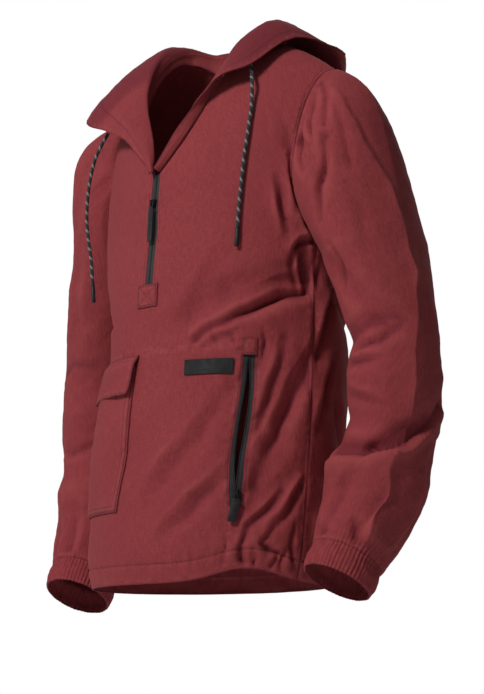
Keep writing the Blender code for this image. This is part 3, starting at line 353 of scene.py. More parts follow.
# ---------------------------------------------------------------- meshes
@dataclass
class Skin:
    """The outer side of a piece of cloth.

    Attributes:
        points: Rows by columns of points; rows run up.
        normals: The way out at each point.
        labels: The angle or place that names each column.
        wrap: True where the columns go all the way round.
        lines: Rows and columns from and to which stitches run.
        flat: Rows and columns from and to which seams lie flat and hardly show.
    """

    points: Array
    normals: Array
    labels: Sequence[float] = ()
    wrap: bool = False
    lines: tuple[Line, ...] = ()
    flat: tuple[Line, ...] = ()

    def laid(self, angle: Array, z: Array, lift: Array, rings: Sequence[int] = ()) -> "Skin":
        """A piece that lies on this one.

        Args:
            angle: Grid of column angles.
            z: Grid of heights.
            lift: How far its outer side stands off this skin.
            rings: How many cells inside its edges stitches run round it.

        Returns:
            The piece's own skin.
        """
        col = np.interp(angle, self.labels, np.arange(len(self.labels)))
        row = np.empty_like(col)
        for index in np.ndindex(col.shape):
            low = min(int(col[index]), len(self.labels) - 2)
            part = col[index] - low
            heights = self.points[:, low, 2] * (1 - part) + self.points[:, low + 1, 2] * part
            row[index] = np.interp(z[index], heights, np.arange(len(heights)))
        facing = unit(at_grid(self.normals, row, col))
        lines = tuple(line for ring in rings for line in ring_lines(row.shape, ring))
        lift = np.broadcast_to(lift, row.shape) - 0.0004 * grooved(row.shape, lines)
        points = at_grid(self.points, row, col) + facing * lift[..., None]
        return Skin(points, unit(grid_normals(points) + facing), lines=lines)


def ring_lines(shape: tuple[int, int], ring: int, sides: str = "bottom left top right") -> list[Line]:
    """Lines along the named sides of a grid.

    Args:
        shape: The grid's rows and columns.
        ring: How many cells inside its edges they run.
        sides: Names of the sides.

    Returns:
        The lines.
    """
    high, wide = shape[0] - 1 - ring, shape[1] - 1 - ring
    lines = {"bottom": (ring, ring, ring, wide), "top": (high, high, ring, wide),
             "left": (ring, high, ring, ring), "right": (ring, high, wide, wide)}
    return [lines[side] for side in sides.split()]


def grooved(shape: tuple[int, int], lines: Iterable[Line]) -> Array:
    """A grid that is 1 along lines and 0 elsewhere.

    Args:
        shape: Its rows and columns.
        lines: The lines.

    Returns:
        The grid.
    """
    made = np.zeros(shape)
    for row_a, row_b, col_a, col_b in lines:
        made[row_a:row_b + 1, col_a:col_b + 1] = 1.0
    return made


def blurred(values: Array, wrap: bool, times: int) -> Array:
    """A grid softened over its neighbours.

    Args:
        values: The grid.
        wrap: True where its columns go all the way round.
        times: How often it is softened.

    Returns:
        The softened grid.
    """
    for _ in range(times):
        across = np.roll(values, 1, axis=1) + np.roll(values, -1, axis=1)
        if not wrap:
            across[:, 0] = 2 * values[:, 0]
            across[:, -1] = 2 * values[:, -1]
        up = np.concatenate([values[:1], values[:-1]]) + np.concatenate([values[1:], values[-1:]])
        values = (across + up) / 4
    return values


def lengths(points: Array, wrap: bool) -> Array:
    """Distance across and up the cloth at every point.

    Args:
        points: The grid of points.
        wrap: True where its columns go all the way round; it then gets one more.

    Returns:
        The two distances.
    """
    if wrap:
        points = np.concatenate([points, points[:, :1]], axis=1)
    across = np.cumsum(np.linalg.norm(np.diff(points, axis=1), axis=-1), axis=1)
    across = np.concatenate([np.zeros((len(points), 1)), across], axis=1)
    across -= across[:, across.shape[1] // 2:across.shape[1] // 2 + 1]
    up = np.cumsum(np.linalg.norm(np.diff(points, axis=0), axis=-1), axis=0)
    return np.stack([across, np.concatenate([np.zeros((1, points.shape[1])), up])], axis=-1)


def cells(grid: Array) -> Array:
    """The four corners of every cell of a grid."""
    return np.stack([grid[:-1, :-1], grid[:-1, 1:], grid[1:, 1:], grid[1:, :-1]], axis=2)


def make_mesh(name: str, points: Array, faces: list, uv: Array | None = None) -> bpy.types.Object:
    """An object in the scene, from points and faces.

    Args:
        name: The object's name.
        points: Its points.
        faces: The corners of each face.
        uv: A pair of numbers for every corner of every face.

    Returns:
        The object.
    """
    mesh = bpy.data.meshes.new(name)
    mesh.from_pydata(points.tolist(), [], faces)
    if uv is not None:
        mesh.uv_layers.new(name="cloth").data.foreach_set("uv", uv.astype(np.float32).ravel())
    mesh.update()
    mesh.shade_smooth()
    made = bpy.data.objects.new(name, mesh)
    bpy.context.scene.collection.objects.link(made)
    return made


def shell(name: str, skin: Skin, keep: Array | None, wall: float, dip: float) -> bpy.types.Object:
    """A closed wall of cloth under a skin.

    Args:
        name: The object's name.
        skin: The outer side.
        keep: Which cells of the grid belong to the piece; all of them if None.
        wall: The cloth's thickness.
        dip: How far the edges are pressed in.

    Returns:
        The object, with its lengths as UVs and its hollows and edges as attributes.
    """
    shape = skin.points.shape[:2]
    index = np.arange(shape[0] * shape[1]).reshape(shape)
    if skin.wrap:
        index = np.concatenate([index, index[:, :1]], axis=1)
    if keep is None:
        keep = np.ones((shape[0] - 1, index.shape[1] - 1), dtype=bool)
    quads = cells(index)[keep]
    quad_uv = cells(lengths(skin.points, skin.wrap))[keep]
    points, normals = skin.points.reshape(-1, 3), skin.normals.reshape(-1, 3)
    starts, ends = quads, np.roll(quads, -1, axis=1)
    rim = ~np.isin(starts * len(points) + ends, ends * len(points) + starts)
    on_edge = np.zeros(len(points), dtype=bool)
    on_edge[starts[rim]] = True
    on_edge[ends[rim]] = True
    far = np.where(on_edge, FLAT_SEAM * grooved(shape, skin.flat).ravel(), 1.0)
    a, b = starts.ravel(), ends.ravel()
    step = np.linalg.norm(points[a] - points[b], axis=-1)
    for _ in range(8):
        np.minimum.at(far, a, far[b] + step)
        np.minimum.at(far, b, far[a] + step)
    outer = points - normals * (dip * bell(far / 0.0022))[:, None]
    inner = outer - normals * wall
    hollow = np.sum((blurred(skin.points, skin.wrap, 14).reshape(-1, 3) - points) * normals, axis=-1)
    used = np.unique(quads)
    n = len(used)
    renamed = np.zeros(len(points), dtype=int)
    renamed[used] = np.arange(n)
    quads = renamed[quads]
    first, last = renamed[starts[rim]], renamed[ends[rim]]
    uv_first, uv_last = quad_uv[rim], np.roll(quad_uv, -1, axis=1)[rim]
    faces = [quads, quads[:, ::-1] + n, np.stack([first + n, last + n, last, first], axis=1)]
    uv = [quad_uv, quad_uv[:, ::-1], np.stack([uv_first + wall, uv_last + wall, uv_last, uv_first], axis=1)]
    made = make_mesh(name, np.concatenate([outer[used], inner[used]]), np.concatenate(faces).tolist(),
                     np.concatenate(uv))
    made.data.set_sharp_from_angle(angle=math.radians(55))
    # Marks for the cloth's colour: hollow gives painted shade in hollows and wear with a painted highlight on
    # ridges; edge gives wear near seams and painted shade right at them; groove gives painted shade along
    # stitch lines.
    for label, values in (("hollow", np.clip(hollow / 0.0020, -1, 1)), ("edge", np.clip(far / 0.02, 0, 1)),
                          ("groove", grooved(shape, skin.lines).ravel())):
        layer = made.data.attributes.new(label, "FLOAT", "POINT")
        layer.data.foreach_set("value", np.tile(values[used], 2).astype(np.float32))
    return made


def scatter(name: str, shape: bpy.types.Object, spots: Array, along: Array, out: Array) -> bpy.types.Object:
    """Many copies of one small shape in a single mesh.

    Args:
        name: The object's name.
        shape: The shape, with x along the row and z outwards; it is used up.
        spots: Where each copy stands.
        along: The way of x for each copy.
        out: The way of z for each copy.

    Returns:
        The object.
    """
    model = np.array([vertex.co[:] for vertex in shape.data.vertices])
    faces = [list(face.vertices) for face in shape.data.polygons]
    bpy.data.objects.remove(shape, do_unlink=True)
    out = unit(out)
    along = unit(along - np.sum(along * out, axis=-1, keepdims=True) * out)
    side = np.cross(out, along)
    points = (spots[:, None] + model[None, :, 0:1] * along[:, None] + model[None, :, 1:2] * side[:, None]
              + model[None, :, 2:3] * out[:, None]).reshape(-1, 3)
    return make_mesh(name, points,
                     [[i * len(model) + v for v in face] for i in range(len(spots)) for face in faces])


def put(piece: bpy.types.Object, finish: bpy.types.Material, body: Body = Body.GARMENT,
        stands_for: str = "") -> bpy.types.Object:
    """Dress a piece and say what it rides on and stands for.

    Args:
        piece: The piece.
        finish: Its material.
        body: The body that it moves with.
        stands_for: The frame's node that it replaces, if it does.

    Returns:
        The piece.
    """
    piece.data.materials.clear()
    piece.data.materials.append(finish)
    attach(piece, body.value)
    if stands_for:
        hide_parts(stands_for)
    LOG.info("%s: %d points on %s", piece.name, len(piece.data.vertices), body.value)
    return piece


@dataclass(frozen=True)
class Cut:
    """What a piece is cut from.

    Attributes:
        width: Width of the cut, in metres.
        length: Length of the cut.
        share: How much of that rectangle the cut fills.
        held: How the cloth is held.
        rests_on: What it hangs from or lies on.
    """

    width: float
    length: float
    share: float
    held: str
    rests_on: tuple[str, ...] = ()


def sew(node: str, skin: Skin, finish: bpy.types.Material, wall: float = 0.0012,
        dip: float = 0.0006, keep: Array | None = None, ending: str = "cloth") -> None:
    """Build a piece of cloth, dress it and log its area.

    Args:
        node: The frame's node that it replaces.
        skin: Its outer side.
        finish: Its material.
        wall: The cloth's thickness.
        dip: How far the edges are pressed in.
        keep: Which cells of the skin belong to it.
        ending: What its own name adds to the node's.
    """
    piece = shell(f"{node}_{ending}", skin, keep, wall, dip)
    put(piece, finish, stands_for=node)
    LOG.info("%s: cloth of %.4f square metres", piece.name, sum(f.area for f in piece.data.polygons) / 2)


# ---------------------------------------------------------------- finishes
Colour = tuple[float, float, float]
Socket = bpy.types.NodeSocket


def scaled(colour: Colour, factor: float, more: float = 0.0) -> Colour:
    """A colour made paler or darker."""
    return tuple(min(1.0, factor * part + more) for part in colour)


class Net:
    """The nodes of one material."""

    def __init__(self, name: str) -> None:
        """Start a material.

        Args:
            name: Its name.
        """
        self.material = bpy.data.materials.new(name)
        self.material.use_nodes = True
        self.tree = self.material.node_tree
        self.shader = self.tree.nodes["Principled BSDF"]

    def add(self, kind: str, feeds: dict | None = None, **settings: object) -> bpy.types.Node:
        """Add a node.

        Args:
            kind: The node's type without its first word.
            feeds: A value or an output for each named input.
            settings: The node's own settings.

        Returns:
            The node.
        """
        node = self.tree.nodes.new("ShaderNode" + kind)
        for key, value in settings.items():
            setattr(node, key, value)
        for key, value in (feeds or {}).items():
            self.feed(node.inputs[key], value)
        return node

    def feed(self, socket: Socket, value: object) -> None:
        """Link an output to a socket, or set the socket's own value.

        Args:
            socket: The socket.
            value: The output or the value.
        """
        if isinstance(value, Socket):
            self.tree.links.new(value, socket)
        else:
            socket.default_value = value

    def where(self) -> Socket:
        """Places on the object."""
        return self.add("TexCoord").outputs["Object"]

    def threads(self) -> Socket:
        """Places along the cloth's threads."""
        return self.add("UVMap", uv_map="cloth").outputs["UV"]

    def mark(self, name: str) -> Socket:
        """One of the marks that a shell carries."""
        return self.add("Attribute", attribute_name=name).outputs["Fac"]

    def math(self, operation: str, *values: object) -> Socket:
        """The result of one sum."""
        return self.add("Math", dict(enumerate(values)), operation=operation).outputs[0]

    def times(self, first: object, second: object) -> Socket:
        """Two values multiplied."""
        return self.math("MULTIPLY", first, second)

    def noise(self, where: Socket, scale: float, detail: float, distortion: float = 0.0,
              stretch: Sequence[float] = (1, 1, 1)) -> Socket:
        """A random pattern from 0 to 1.

        Args:
            where: The coordinates.
            scale: Its fineness.
            detail: How many finer layers it has.
            distortion: How much it is twisted.
            stretch: Factors on the coordinates.

        Returns:
            The pattern's value.
        """
        if tuple(stretch) != (1, 1, 1):
            where = self.add("Mapping", {"Vector": where, "Scale": tuple(stretch)}).outputs[0]
        feeds = {"Vector": where, "Scale": scale, "Detail": detail, "Distortion": distortion}
        made = self.add("TexNoise", feeds)
        return made.outputs["Fac"]

    def span(self, value: Socket, low: float, high: float, first: float = 0.0, last: float = 1.0) -> Socket:
        """A value taken from one span to another, and held inside it."""
        return self.add("MapRange", {0: value, 1: low, 2: high, 3: first, 4: last}, clamp=True).outputs[0]

    def layered(self, colour: object, *layers: tuple[Socket, object]) -> object:
        """A colour with others mixed over it in turn.

        Args:
            colour: The ground, a colour or an output.
            layers: The share and the colour of each layer.

        Returns:
            The mixed colour.
        """
        for share, over in layers:
            node = self.add("Mix", data_type="RGBA", blend_type="MIX")
            for socket, value in ((node.inputs[0], share), (node.inputs[6], colour), (node.inputs[7], over)):
                self.feed(socket, (*value, 1.0) if isinstance(value, tuple) else value)
            colour = node.outputs[2]
        return colour

    def relief(self, *layers: tuple[Socket, float, float]) -> Socket:
        """Reliefs laid on each other.

        Args:
            layers: Height, distance and strength of each.

        Returns:
            The normal.
        """
        normal = None
        for height, distance, strength in layers:
            feeds = {"Height": height, "Distance": distance, "Strength": strength}
            normal = self.add("Bump", feeds if normal is None else {**feeds, "Normal": normal}).outputs[0]
        return normal

    def set(self, **values: object) -> bpy.types.Material:
        """Set the shader's sockets.

        Args:
            values: A value or an output by name, with an underscore for each space.

        Returns:
            The material.
        """
        for name, value in values.items():
            self.feed(self.shader.inputs[name.replace("_", " ")], value)
        return self.material


@dataclass(frozen=True)
class ClothFinish:
    """A washed, closely woven cotton cloth.

    Attributes:
        name: The material's name.
        colour: Its colour, linear.
        worn: Its paler colour: paler threads, wear along seams, and wear with a painted highlight on ridges.
        deep: Its colour where the cloth took up the most colour.
        shaded: Painted shade: a dark purple laid in hollows, right at seams and along stitch grooves.
        thread: Distance from thread to thread.
        crumple: How deep its fine crumple is.
    """

    name: str
    colour: Colour
    worn: Colour
    deep: Colour
    shaded: Colour = (0.100, 0.009, 0.022)
    thread: float = 0.00055
    crumple: float = 0.0007

    def make(self) -> bpy.types.Material:
        """Build the material with its weave, crumple, uneven colouring, wear, and painted shade and
        highlight.

        Returns:
            The material.
        """
        net = Net(self.name)
        where, threads = net.where(), net.threads()
        hollow, edge, groove = (net.mark(name) for name in ("hollow", "edge", "groove"))
        parts = net.add("SeparateXYZ", {0: threads}).outputs
        warp, weft = (net.math("SINE", net.times(parts[i], FULL_TURN / self.thread)) for i in (0, 1))
        slub, grain = (net.times(net.math("ADD", *(
            net.noise(threads, 1.0, detail, stretch=stretch)
            for stretch in ((fine, coarse, 1), (coarse, fine, 1)))), 0.5)
                       for fine, coarse, detail in ((1500, 70, 3.0), (620, 110, 2.0)))
        crepe = net.noise(threads, 1.0, 3.0, 0.3, stretch=(240, 84, 1))
        cloud = net.noise(where, 7.0, 4.0, 0.6)
        broken = net.span(net.noise(where, 160.0, 3.0), 0.42, 0.62)
        rubbed = net.times(net.span(edge, 0.10, 0.16), net.span(edge, 0.50, 0.20))
        # Base colour: the cotton's own tone and wear, with painted shade and a painted highlight mixed in.
        colour_mix = net.layered(self.colour,
                          (net.span(slub, 0.36, 0.64, 0.0, 0.5), self.worn),
                          (net.span(grain, 0.58, 0.40, 0.0, 0.4), self.deep),
                          (net.span(crepe, 0.60, 0.38, 0.0, 0.22), self.deep),
                          (net.span(cloud, 0.3, 0.7, 0.0, 0.30), self.deep),
                          # Painted shade: hollows darkened towards the purple shadow colour.
                          (net.span(hollow, 0.25, 1.0, 0.0, 0.45), self.shaded),
                          # Ridges lightened: wear, and a painted highlight.
                          (net.span(hollow, -0.15, -1.0, 0.0, 0.45), self.worn),
                          (net.times(net.times(rubbed, broken), 0.5), self.worn),
                          # Painted shade: a dark line right at each seam edge, and along each stitch groove.
                          (net.span(edge, 0.03, 0.09, 0.5, 0.0), self.shaded),
                          (net.span(groove, 0.55, 1.0, 0.0, 0.5), self.shaded))
        weave = net.math("ADD", net.times(warp, weft), net.times(slub, 1.5))
        normal = net.relief((net.noise(where, 55.0, 5.0, 0.35), self.crumple * 1.6, 0.5),
                            (crepe, self.crumple * 1.1, 0.8), (grain, self.crumple * 0.9, 0.8),
                            (weave, 0.00007, 0.6))
        return net.set(Base_Color=colour_mix, Normal=normal, Roughness=net.span(slub, 0.3, 0.7, 0.78, 0.92),
                       Sheen_Weight=0.10, Sheen_Roughness=0.5, Sheen_Tint=(0.85, 0.30, 0.30, 1.0),
                       Specular_IOR_Level=0.22)


@dataclass(frozen=True)
class ThreadFinish:
    """Sewing thread of one colour."""

    name: str
    colour: Colour

    def make(self) -> bpy.types.Material:
        """Build the material with its twist.

        Returns:
            The material.
        """
        net = Net(self.name)
        twist = net.noise(net.where(), 900.0, 2.0)
        colour_mix = net.layered(self.colour, (net.span(twist, 0.35, 0.65), scaled(self.colour, 0.7)))
        return net.set(Base_Color=colour_mix, Normal=net.relief((twist, 0.0001, 0.6)),
                       Roughness=net.span(twist, 0.3, 0.7, 0.5, 0.7), Sheen_Weight=0.2)


@dataclass(frozen=True)
class TapeFinish:
    """Woven zip tape; rib is the distance from rib to rib."""

    name: str
    colour: Colour
    rib: float = 0.0009

    def make(self) -> bpy.types.Material:
        """Build the material with its ribs and a dusting of lint.

        Returns:
            The material.
        """
        net = Net(self.name)
        parts = net.add("SeparateXYZ", {0: net.threads()}).outputs
        ribs, cross = (net.math("SINE", net.times(part, FULL_TURN / pitch))
                       for part, pitch in ((parts[0], self.rib), (parts[1], self.rib * 0.6)))
        weave = net.math("ADD", ribs, net.times(net.times(ribs, cross), 0.6))
        lint = net.span(net.noise(net.where(), 420.0, 4.0), 0.56, 0.72, 0.0, 0.5)
        return net.set(Base_Color=net.layered(self.colour, (lint, scaled(self.colour, 2.6))),
                       Normal=net.relief((weave, 0.00012, 0.8)),
                       Roughness=net.span(weave, -1.0, 1.0, 0.86, 0.68), Sheen_Weight=0.15)


@dataclass(frozen=True)
class CordFinish:
    """Round braided cord with a pale fleck that winds round it.

    Attributes:
        name: The material's name.
        dark: The ground colour.
        pale: The fleck's colour.
    """

    name: str
    dark: Colour
    pale: Colour

    def make(self) -> bpy.types.Material:
        """Build the material; its UV map has turns round the cord and metres along it.

        Returns:
            The material.
        """
        net = Net(self.name)
        round_it, along, _ = net.add("SeparateXYZ", {0: net.threads()}).outputs
        steps = net.times(along, CORD_STRANDS / CORD_PITCH)
        turned = net.times(round_it, CORD_STRANDS / 2)
        one = net.math("FRACT", net.math("ADD", turned, steps))
        other = net.math("FRACT", net.math("SUBTRACT", steps, turned))
        fleck = net.math("FRACT", net.math("ADD", net.math("DIVIDE", along, CORD_PITCH), round_it))
        shown = net.times(net.math("LESS_THAN", fleck, 0.30), net.math("GREATER_THAN", one, 0.22))
        fuzz = net.noise(net.where(), 1200.0, 3.0)
        ridge = net.math("ADD", net.math("PINGPONG", one, 0.5), net.math("PINGPONG", other, 0.5))
        colour_mix = net.layered(self.dark, (net.span(fuzz, 0.35, 0.7), scaled(self.dark, 2.2)),
                          (net.times(shown, net.span(fuzz, 0.3, 0.6, 0.6, 1.0)), self.pale))
        return net.set(Base_Color=colour_mix, Normal=net.relief((ridge, 0.0005, 0.8)),
                       Roughness=net.span(fuzz, 0.3, 0.7, 0.65, 0.85), Sheen_Weight=0.15)


@dataclass(frozen=True)
class MouldedFinish:
    """Moulded rubber or plastic, or painted metal.

    Attributes:
        name: The material's name.
        colour: Its colour, linear.
        roughness: Its mean roughness.
        metal: How metallic it is.
        grain: How deep its grain is.
    """

    name: str
    colour: Colour
    roughness: float
    metal: float = 0.0
    grain: float = 0.00006

    def make(self) -> bpy.types.Material:
        """Build the material with its grain and dust.

        Returns:
            The material.
        """
        net = Net(self.name)
        where = net.where()
        smudge = net.noise(where, 90.0, 4.0, 0.5)
        dusty = (net.span(smudge, 0.45, 0.75, 0.0, 0.6), scaled(self.colour, 2.0, 0.004))
        return net.set(Base_Color=net.layered(self.colour, dusty),
                       Normal=net.relief((net.noise(where, 1500.0, 3.0), self.grain, 0.7)),
                       Roughness=net.span(smudge, 0.3, 0.7, self.roughness - 0.08, self.roughness + 0.1),
                       Metallic=self.metal, Specular_IOR_Level=0.3)


class Finishes:
    """Every finish of the garment, made once."""

    def __init__(self) -> None:
        """Make the materials."""
        red, worn, deep = (0.305, 0.043, 0.046), (0.385, 0.070, 0.072), (0.185, 0.020, 0.030)
        self.cloth = ClothFinish("red_cotton", red, worn, deep).make()
        # The bag's cloth: the same cotton darkened, which paints the shade that falls inside the garment.
        self.inside = ClothFinish("red_cotton_inside", scaled(red, 0.62), red, deep).make()
        # Red thread far darker than the cloth: its colour also paints the shade of the stitch grooves.
        self.thread = ThreadFinish("red_thread", (0.120, 0.014, 0.019)).make()
        self.dark_thread = ThreadFinish("dark_thread", (0.012, 0.012, 0.013)).make()
        self.tape = TapeFinish("black_zip_tape", (0.013, 0.013, 0.014)).make()
        self.coil = MouldedFinish("black_nylon_coil", (0.012, 0.012, 0.013), 0.42).make()
        self.label = MouldedFinish("charcoal_label_rubber", (0.006, 0.006, 0.007), 0.66, grain=0.00012).make()
        self.rubber = MouldedFinish("charcoal_rubber", (0.016, 0.016, 0.018), 0.48).make()
        self.metal = MouldedFinish("black_painted_metal", (0.030, 0.030, 0.033), 0.34, metal=0.75).make()
        self.cord = CordFinish("flecked_braid", (0.010, 0.010, 0.011), (0.30, 0.29, 0.29)).make()


# ---------------------------------------------------------------- the frame's tables
# Height, half width, front depth, back depth and middle of the body.
BODY_SECTIONS = (
    (-0.731, 0.178, 0.146, 0.140, -0.024),
    (-0.700, 0.184, 0.152, 0.146, -0.022),
    (-0.620, 0.187, 0.155, 0.150, -0.014),
    (-0.520, 0.186, 0.152, 0.152, -0.004),
    (-0.420, 0.184, 0.150, 0.150, 0.004),
    (-0.320, 0.187, 0.145, 0.145, 0.004),
    (-0.250, 0.193, 0.135, 0.140, 0.002),
)
# Column angle, and the turn up the shoulder at which the cloth ends there.
NECKLINE_FRONT = ((0.0, 15.0), (2.0, 16.0), (9.0, 21.0), (16.0, 27.5), (23.0, 38.0),
                  (27.0, 49.0), (31.0, 64.5), (34.0, 90.0))
NECKLINE_BACK = ((0.0, 61.0), (12.0, 62.0), (23.0, 68.0), (29.0, 76.0), (34.0, 90.0))
NECK_FRONT_COLUMNS = (2, 9, 16, 23, 27, 31, 34)
SIDE_COLUMNS = (34, 40, 47.6, 53, 60, 66, 72, 78, 84)
NECK_BACK_COLUMNS = (0, 12, 23, 29, 34)
HEM_Z = -0.731
HEM_STITCH_Z = -0.705
HEM_LIFT_Z = -0.640
WAIST_Z = -0.420
ZIP_FOOT_Z = -0.329
PATCH_FOOT_Z = -0.357
ARMPIT_Z = -0.250
POCKET_TOP_Z = -0.430
POCKET_FOOT_Z = -0.632
POCKET_FRONT_ANGLE = 47.6
POCKET_SIDE_ANGLE = 53.0
POCKET_ZIP_ANGLE = 50.3
POCKET_ROWS = (POCKET_FOOT_Z, -0.590, -0.550, -0.510, -0.470, POCKET_TOP_Z)
LOWER_ROWS = (HEM_Z, HEM_STITCH_Z, -0.675, *POCKET_ROWS, WAIST_Z, -0.385, PATCH_FOOT_Z, ZIP_FOOT_Z, -0.300,
              -0.272, ARMPIT_Z)
UPPER_ROWS = (0.0, 0.004, 0.010, 0.02, 0.06, 0.12, 0.21, 0.33, 0.45, 0.57, 0.69, 0.80, 0.89, 0.95, 1.0)
# Turn and height at both ends, width and depth of each large fold.
FRAME_BODY_FOLDS = (
    (80, -0.315, 40, -0.345, 0.020, 0.011),
    (40, -0.345, 10, -0.395, 0.018, 0.006),
    (78, -0.425, 52, -0.560, 0.020, 0.007),
    (66, -0.400, 48, -0.470, 0.016, 0.004),
    (76, -0.590, 52, -0.660, 0.020, 0.007),
    (72, -0.540, 58, -0.610, 0.015, 0.004),
    (10, -0.520, -20, -0.600, 0.030, 0.004),
    (-84, -0.315, -40, -0.350, 0.022, 0.008),
    (-80, -0.500, -58, -0.560, 0.020, 0.005),
    (100, -0.330, 150, -0.400, 0.024, 0.008),
    (-100, -0.330, -150, -0.400, 0.024, 0.008),
    (105, -0.520, 150, -0.600, 0.026, 0.006),
    (-105, -0.500, -150, -0.580, 0.026, 0.006),
)
FRAME_SLEEVE_FOLDS = (
    (95, -0.100, 75, -0.200, 0.014, 0.008),
    (60, -0.070, 40, -0.180, 0.016, 0.006),
    (120, -0.300, 60, -0.400, 0.018, 0.007),
    (150, -0.420, 40, -0.395, 0.014, 0.007),
    (150, -0.545, 60, -0.560, 0.012, 0.008),
    (60, -0.560, 0, -0.520, 0.012, 0.009),
    (0, -0.520, -60, -0.470, 0.018, 0.003),
    (70, -0.590, 110, -0.690, 0.014, 0.007),
    (20, -0.600, 45, -0.700, 0.014, 0.006),
    (-90, -0.420, -160, -0.400, 0.016, 0.006),
    (-60, -0.580, -120, -0.660, 0.016, 0.006),
)
# Middle of the left arm's tube, and its half widths outward and to the front.
SLEEVE_SECTIONS = (
    (0.253, 0.033, -0.295, 0.060, 0.084),
    (0.268, 0.034, -0.342, 0.058, 0.073),
    (0.283, 0.036, -0.413, 0.056, 0.062),
    (0.282, 0.038, -0.463, 0.060, 0.068),
    (0.283, 0.036, -0.500, 0.060, 0.066),
    (0.281, 0.032, -0.538, 0.056, 0.062),
    (0.268, 0.020, -0.590, 0.064, 0.072),
    (0.262, 0.009, -0.633, 0.062, 0.066),
    (0.258, -0.013, -0.674, 0.054, 0.058),
    (0.255, -0.028, -0.702, 0.046, 0.050),
)
WRIST = len(SLEEVE_SECTIONS) - 1.0
# Share of the cuff's length, how far it stands off the wrist, and the depth of its gathers.
CUFF_PROFILE = ((0.0, -0.0008, 0.0008), (0.05, -0.0008, 0.0009), (0.12, -0.0014, 0.0010),
                (0.3, -0.0004, 0.0008), (0.5, 0.0004, 0.0007), (0.7, -0.0002, 0.0008),
                (0.86, -0.0014, 0.0010), (0.93, -0.0016, 0.0009), (0.975, -0.0022, 0.0008),
                (1.0, -0.0034, 0.0006))
# Place along the neck seam, and four points from there to the hood's edge, off the seam.
HOOD_FRONTS = {
    Side.LEFT: (
        (0, (-0.0004, -0.0032, 0.0009), (-0.0012, -0.0055, 0.0023), (-0.0024, -0.0072, 0.0038),
         (-0.0038, -0.0087, 0.0054)),
        (1, (-0.0004, -0.0032, 0.0012), (-0.0024, -0.0060, 0.0036), (-0.0044, -0.0081, 0.0059),
         (-0.0069, -0.0096, 0.0084)),
        (2, (-0.0001, -0.0034, 0.0012), (-0.0024, -0.0065, 0.0037), (-0.0051, -0.0093, 0.0064),
         (-0.0081, -0.0116, 0.0089)),
        (3, (0.0004, -0.0038, 0.0018), (0.0004, -0.0075, 0.0038), (0.0012, -0.0106, 0.0052),
         (0.0028, -0.0134, 0.0058)),
        (4, (0.0046, -0.0058, 0.0069), (0.0116, -0.0118, 0.0079), (0.0186, -0.0178, 0.0029),
         (0.0236, -0.0218, -0.0051)),
        (5, (0.0055, -0.0050, 0.0155), (0.0215, -0.0120, 0.0135), (0.0385, -0.0220, -0.0045),
         (0.0515, -0.0300, -0.0305)),
    ),
    Side.RIGHT: (
        (0, (0.0012, -0.0032, 0.0009), (0.0022, -0.0055, 0.0009), (0.0024, -0.0075, -0.0005),
         (0.0022, -0.0085, -0.0030)),
        (1, (0.0060, -0.0036, 0.0024), (0.0165, -0.0024, 0.0024), (0.0180, -0.0108, -0.0056),
         (0.0160, -0.0100, -0.0136)),
        (2, (0.0090, -0.0036, 0.0020), (0.0220, -0.0022, 0.0045), (0.0190, -0.0152, -0.0085),
         (0.0120, -0.0152, -0.0225)),
        (3, (0.0043, -0.0074, 0.0021), (0.0153, -0.0084, 0.0061), (0.0033, -0.0244, -0.0119),
         (-0.0127, -0.0244, -0.0309)),
        (4, (0.0004, -0.0078, 0.0059), (0.0034, -0.0138, 0.0089), (-0.0256, -0.0318, -0.0151),
         (-0.0546, -0.0368, -0.0461)),
        (5, (0.0005, -0.0070, 0.0155), (-0.0055, -0.0170, 0.0155), (-0.0465, -0.0470, -0.0185),
         (-0.1005, -0.0560, -0.0595)),
    ),
}
# The same four points over the shoulder and behind, in the garment's own place.
HOOD_SHOULDERS = {
    Side.LEFT: ((0.085, 0.010, 0.046), (0.102, 0.006, 0.046), (0.122, 0.002, 0.034), (0.140, -0.002, 0.014)),
    Side.RIGHT: ((-0.085, 0.010, 0.046), (-0.108, 0.000, 0.046), (-0.142, -0.016, 0.026),
                 (-0.172, -0.028, 0.004)),
}
HOOD_BEHIND = (
    (7, (0.082, 0.058, 0.042), (0.138, 0.078, 0.002), (0.148, 0.086, 0.002), (0.146, 0.090, 0.012)),
    (8, (0.065, 0.080, 0.040), (0.100, 0.120, -0.085), (0.107, 0.135, -0.045), (0.104, 0.128, 0.016)),
    (9, (0.034, 0.092, 0.036), (0.060, 0.150, -0.148), (0.065, 0.178, -0.090), (0.058, 0.158, 0.018)),
    (10, (0.0, 0.095, 0.036), (0.0, 0.160, -0.172), (0.0, 0.200, -0.105), (0.0, 0.174, 0.018)),
)
HOOD_SHOULDER_PLACE = 6
HOOD_MIDDLE_PLACE = 10
WANDER = 0.0020
WANDER_LENGTH = 0.055
FLAT_SEAM = 0.0026
CORD_STRANDS = 8
CORD_PITCH = 0.0135


# ---------------------------------------------------------------- torso
def inside(count: int) -> Array:
    """How many steps each of a row's places is from the nearer end."""
    return np.minimum(np.arange(count), np.arange(count)[::-1])


def share(first: Array, first_place: object, second: Array, second_place: object) -> None:
    """Give two grids the same ways out where they meet.

    Args:
        first: One grid of ways out.
        first_place: Where it meets the other.
        second: The other grid.
        second_place: Where that meets the first.
    """
    both = unit(first[first_place] + second[second_place])
    first[first_place] = both
    second[second_place] = both


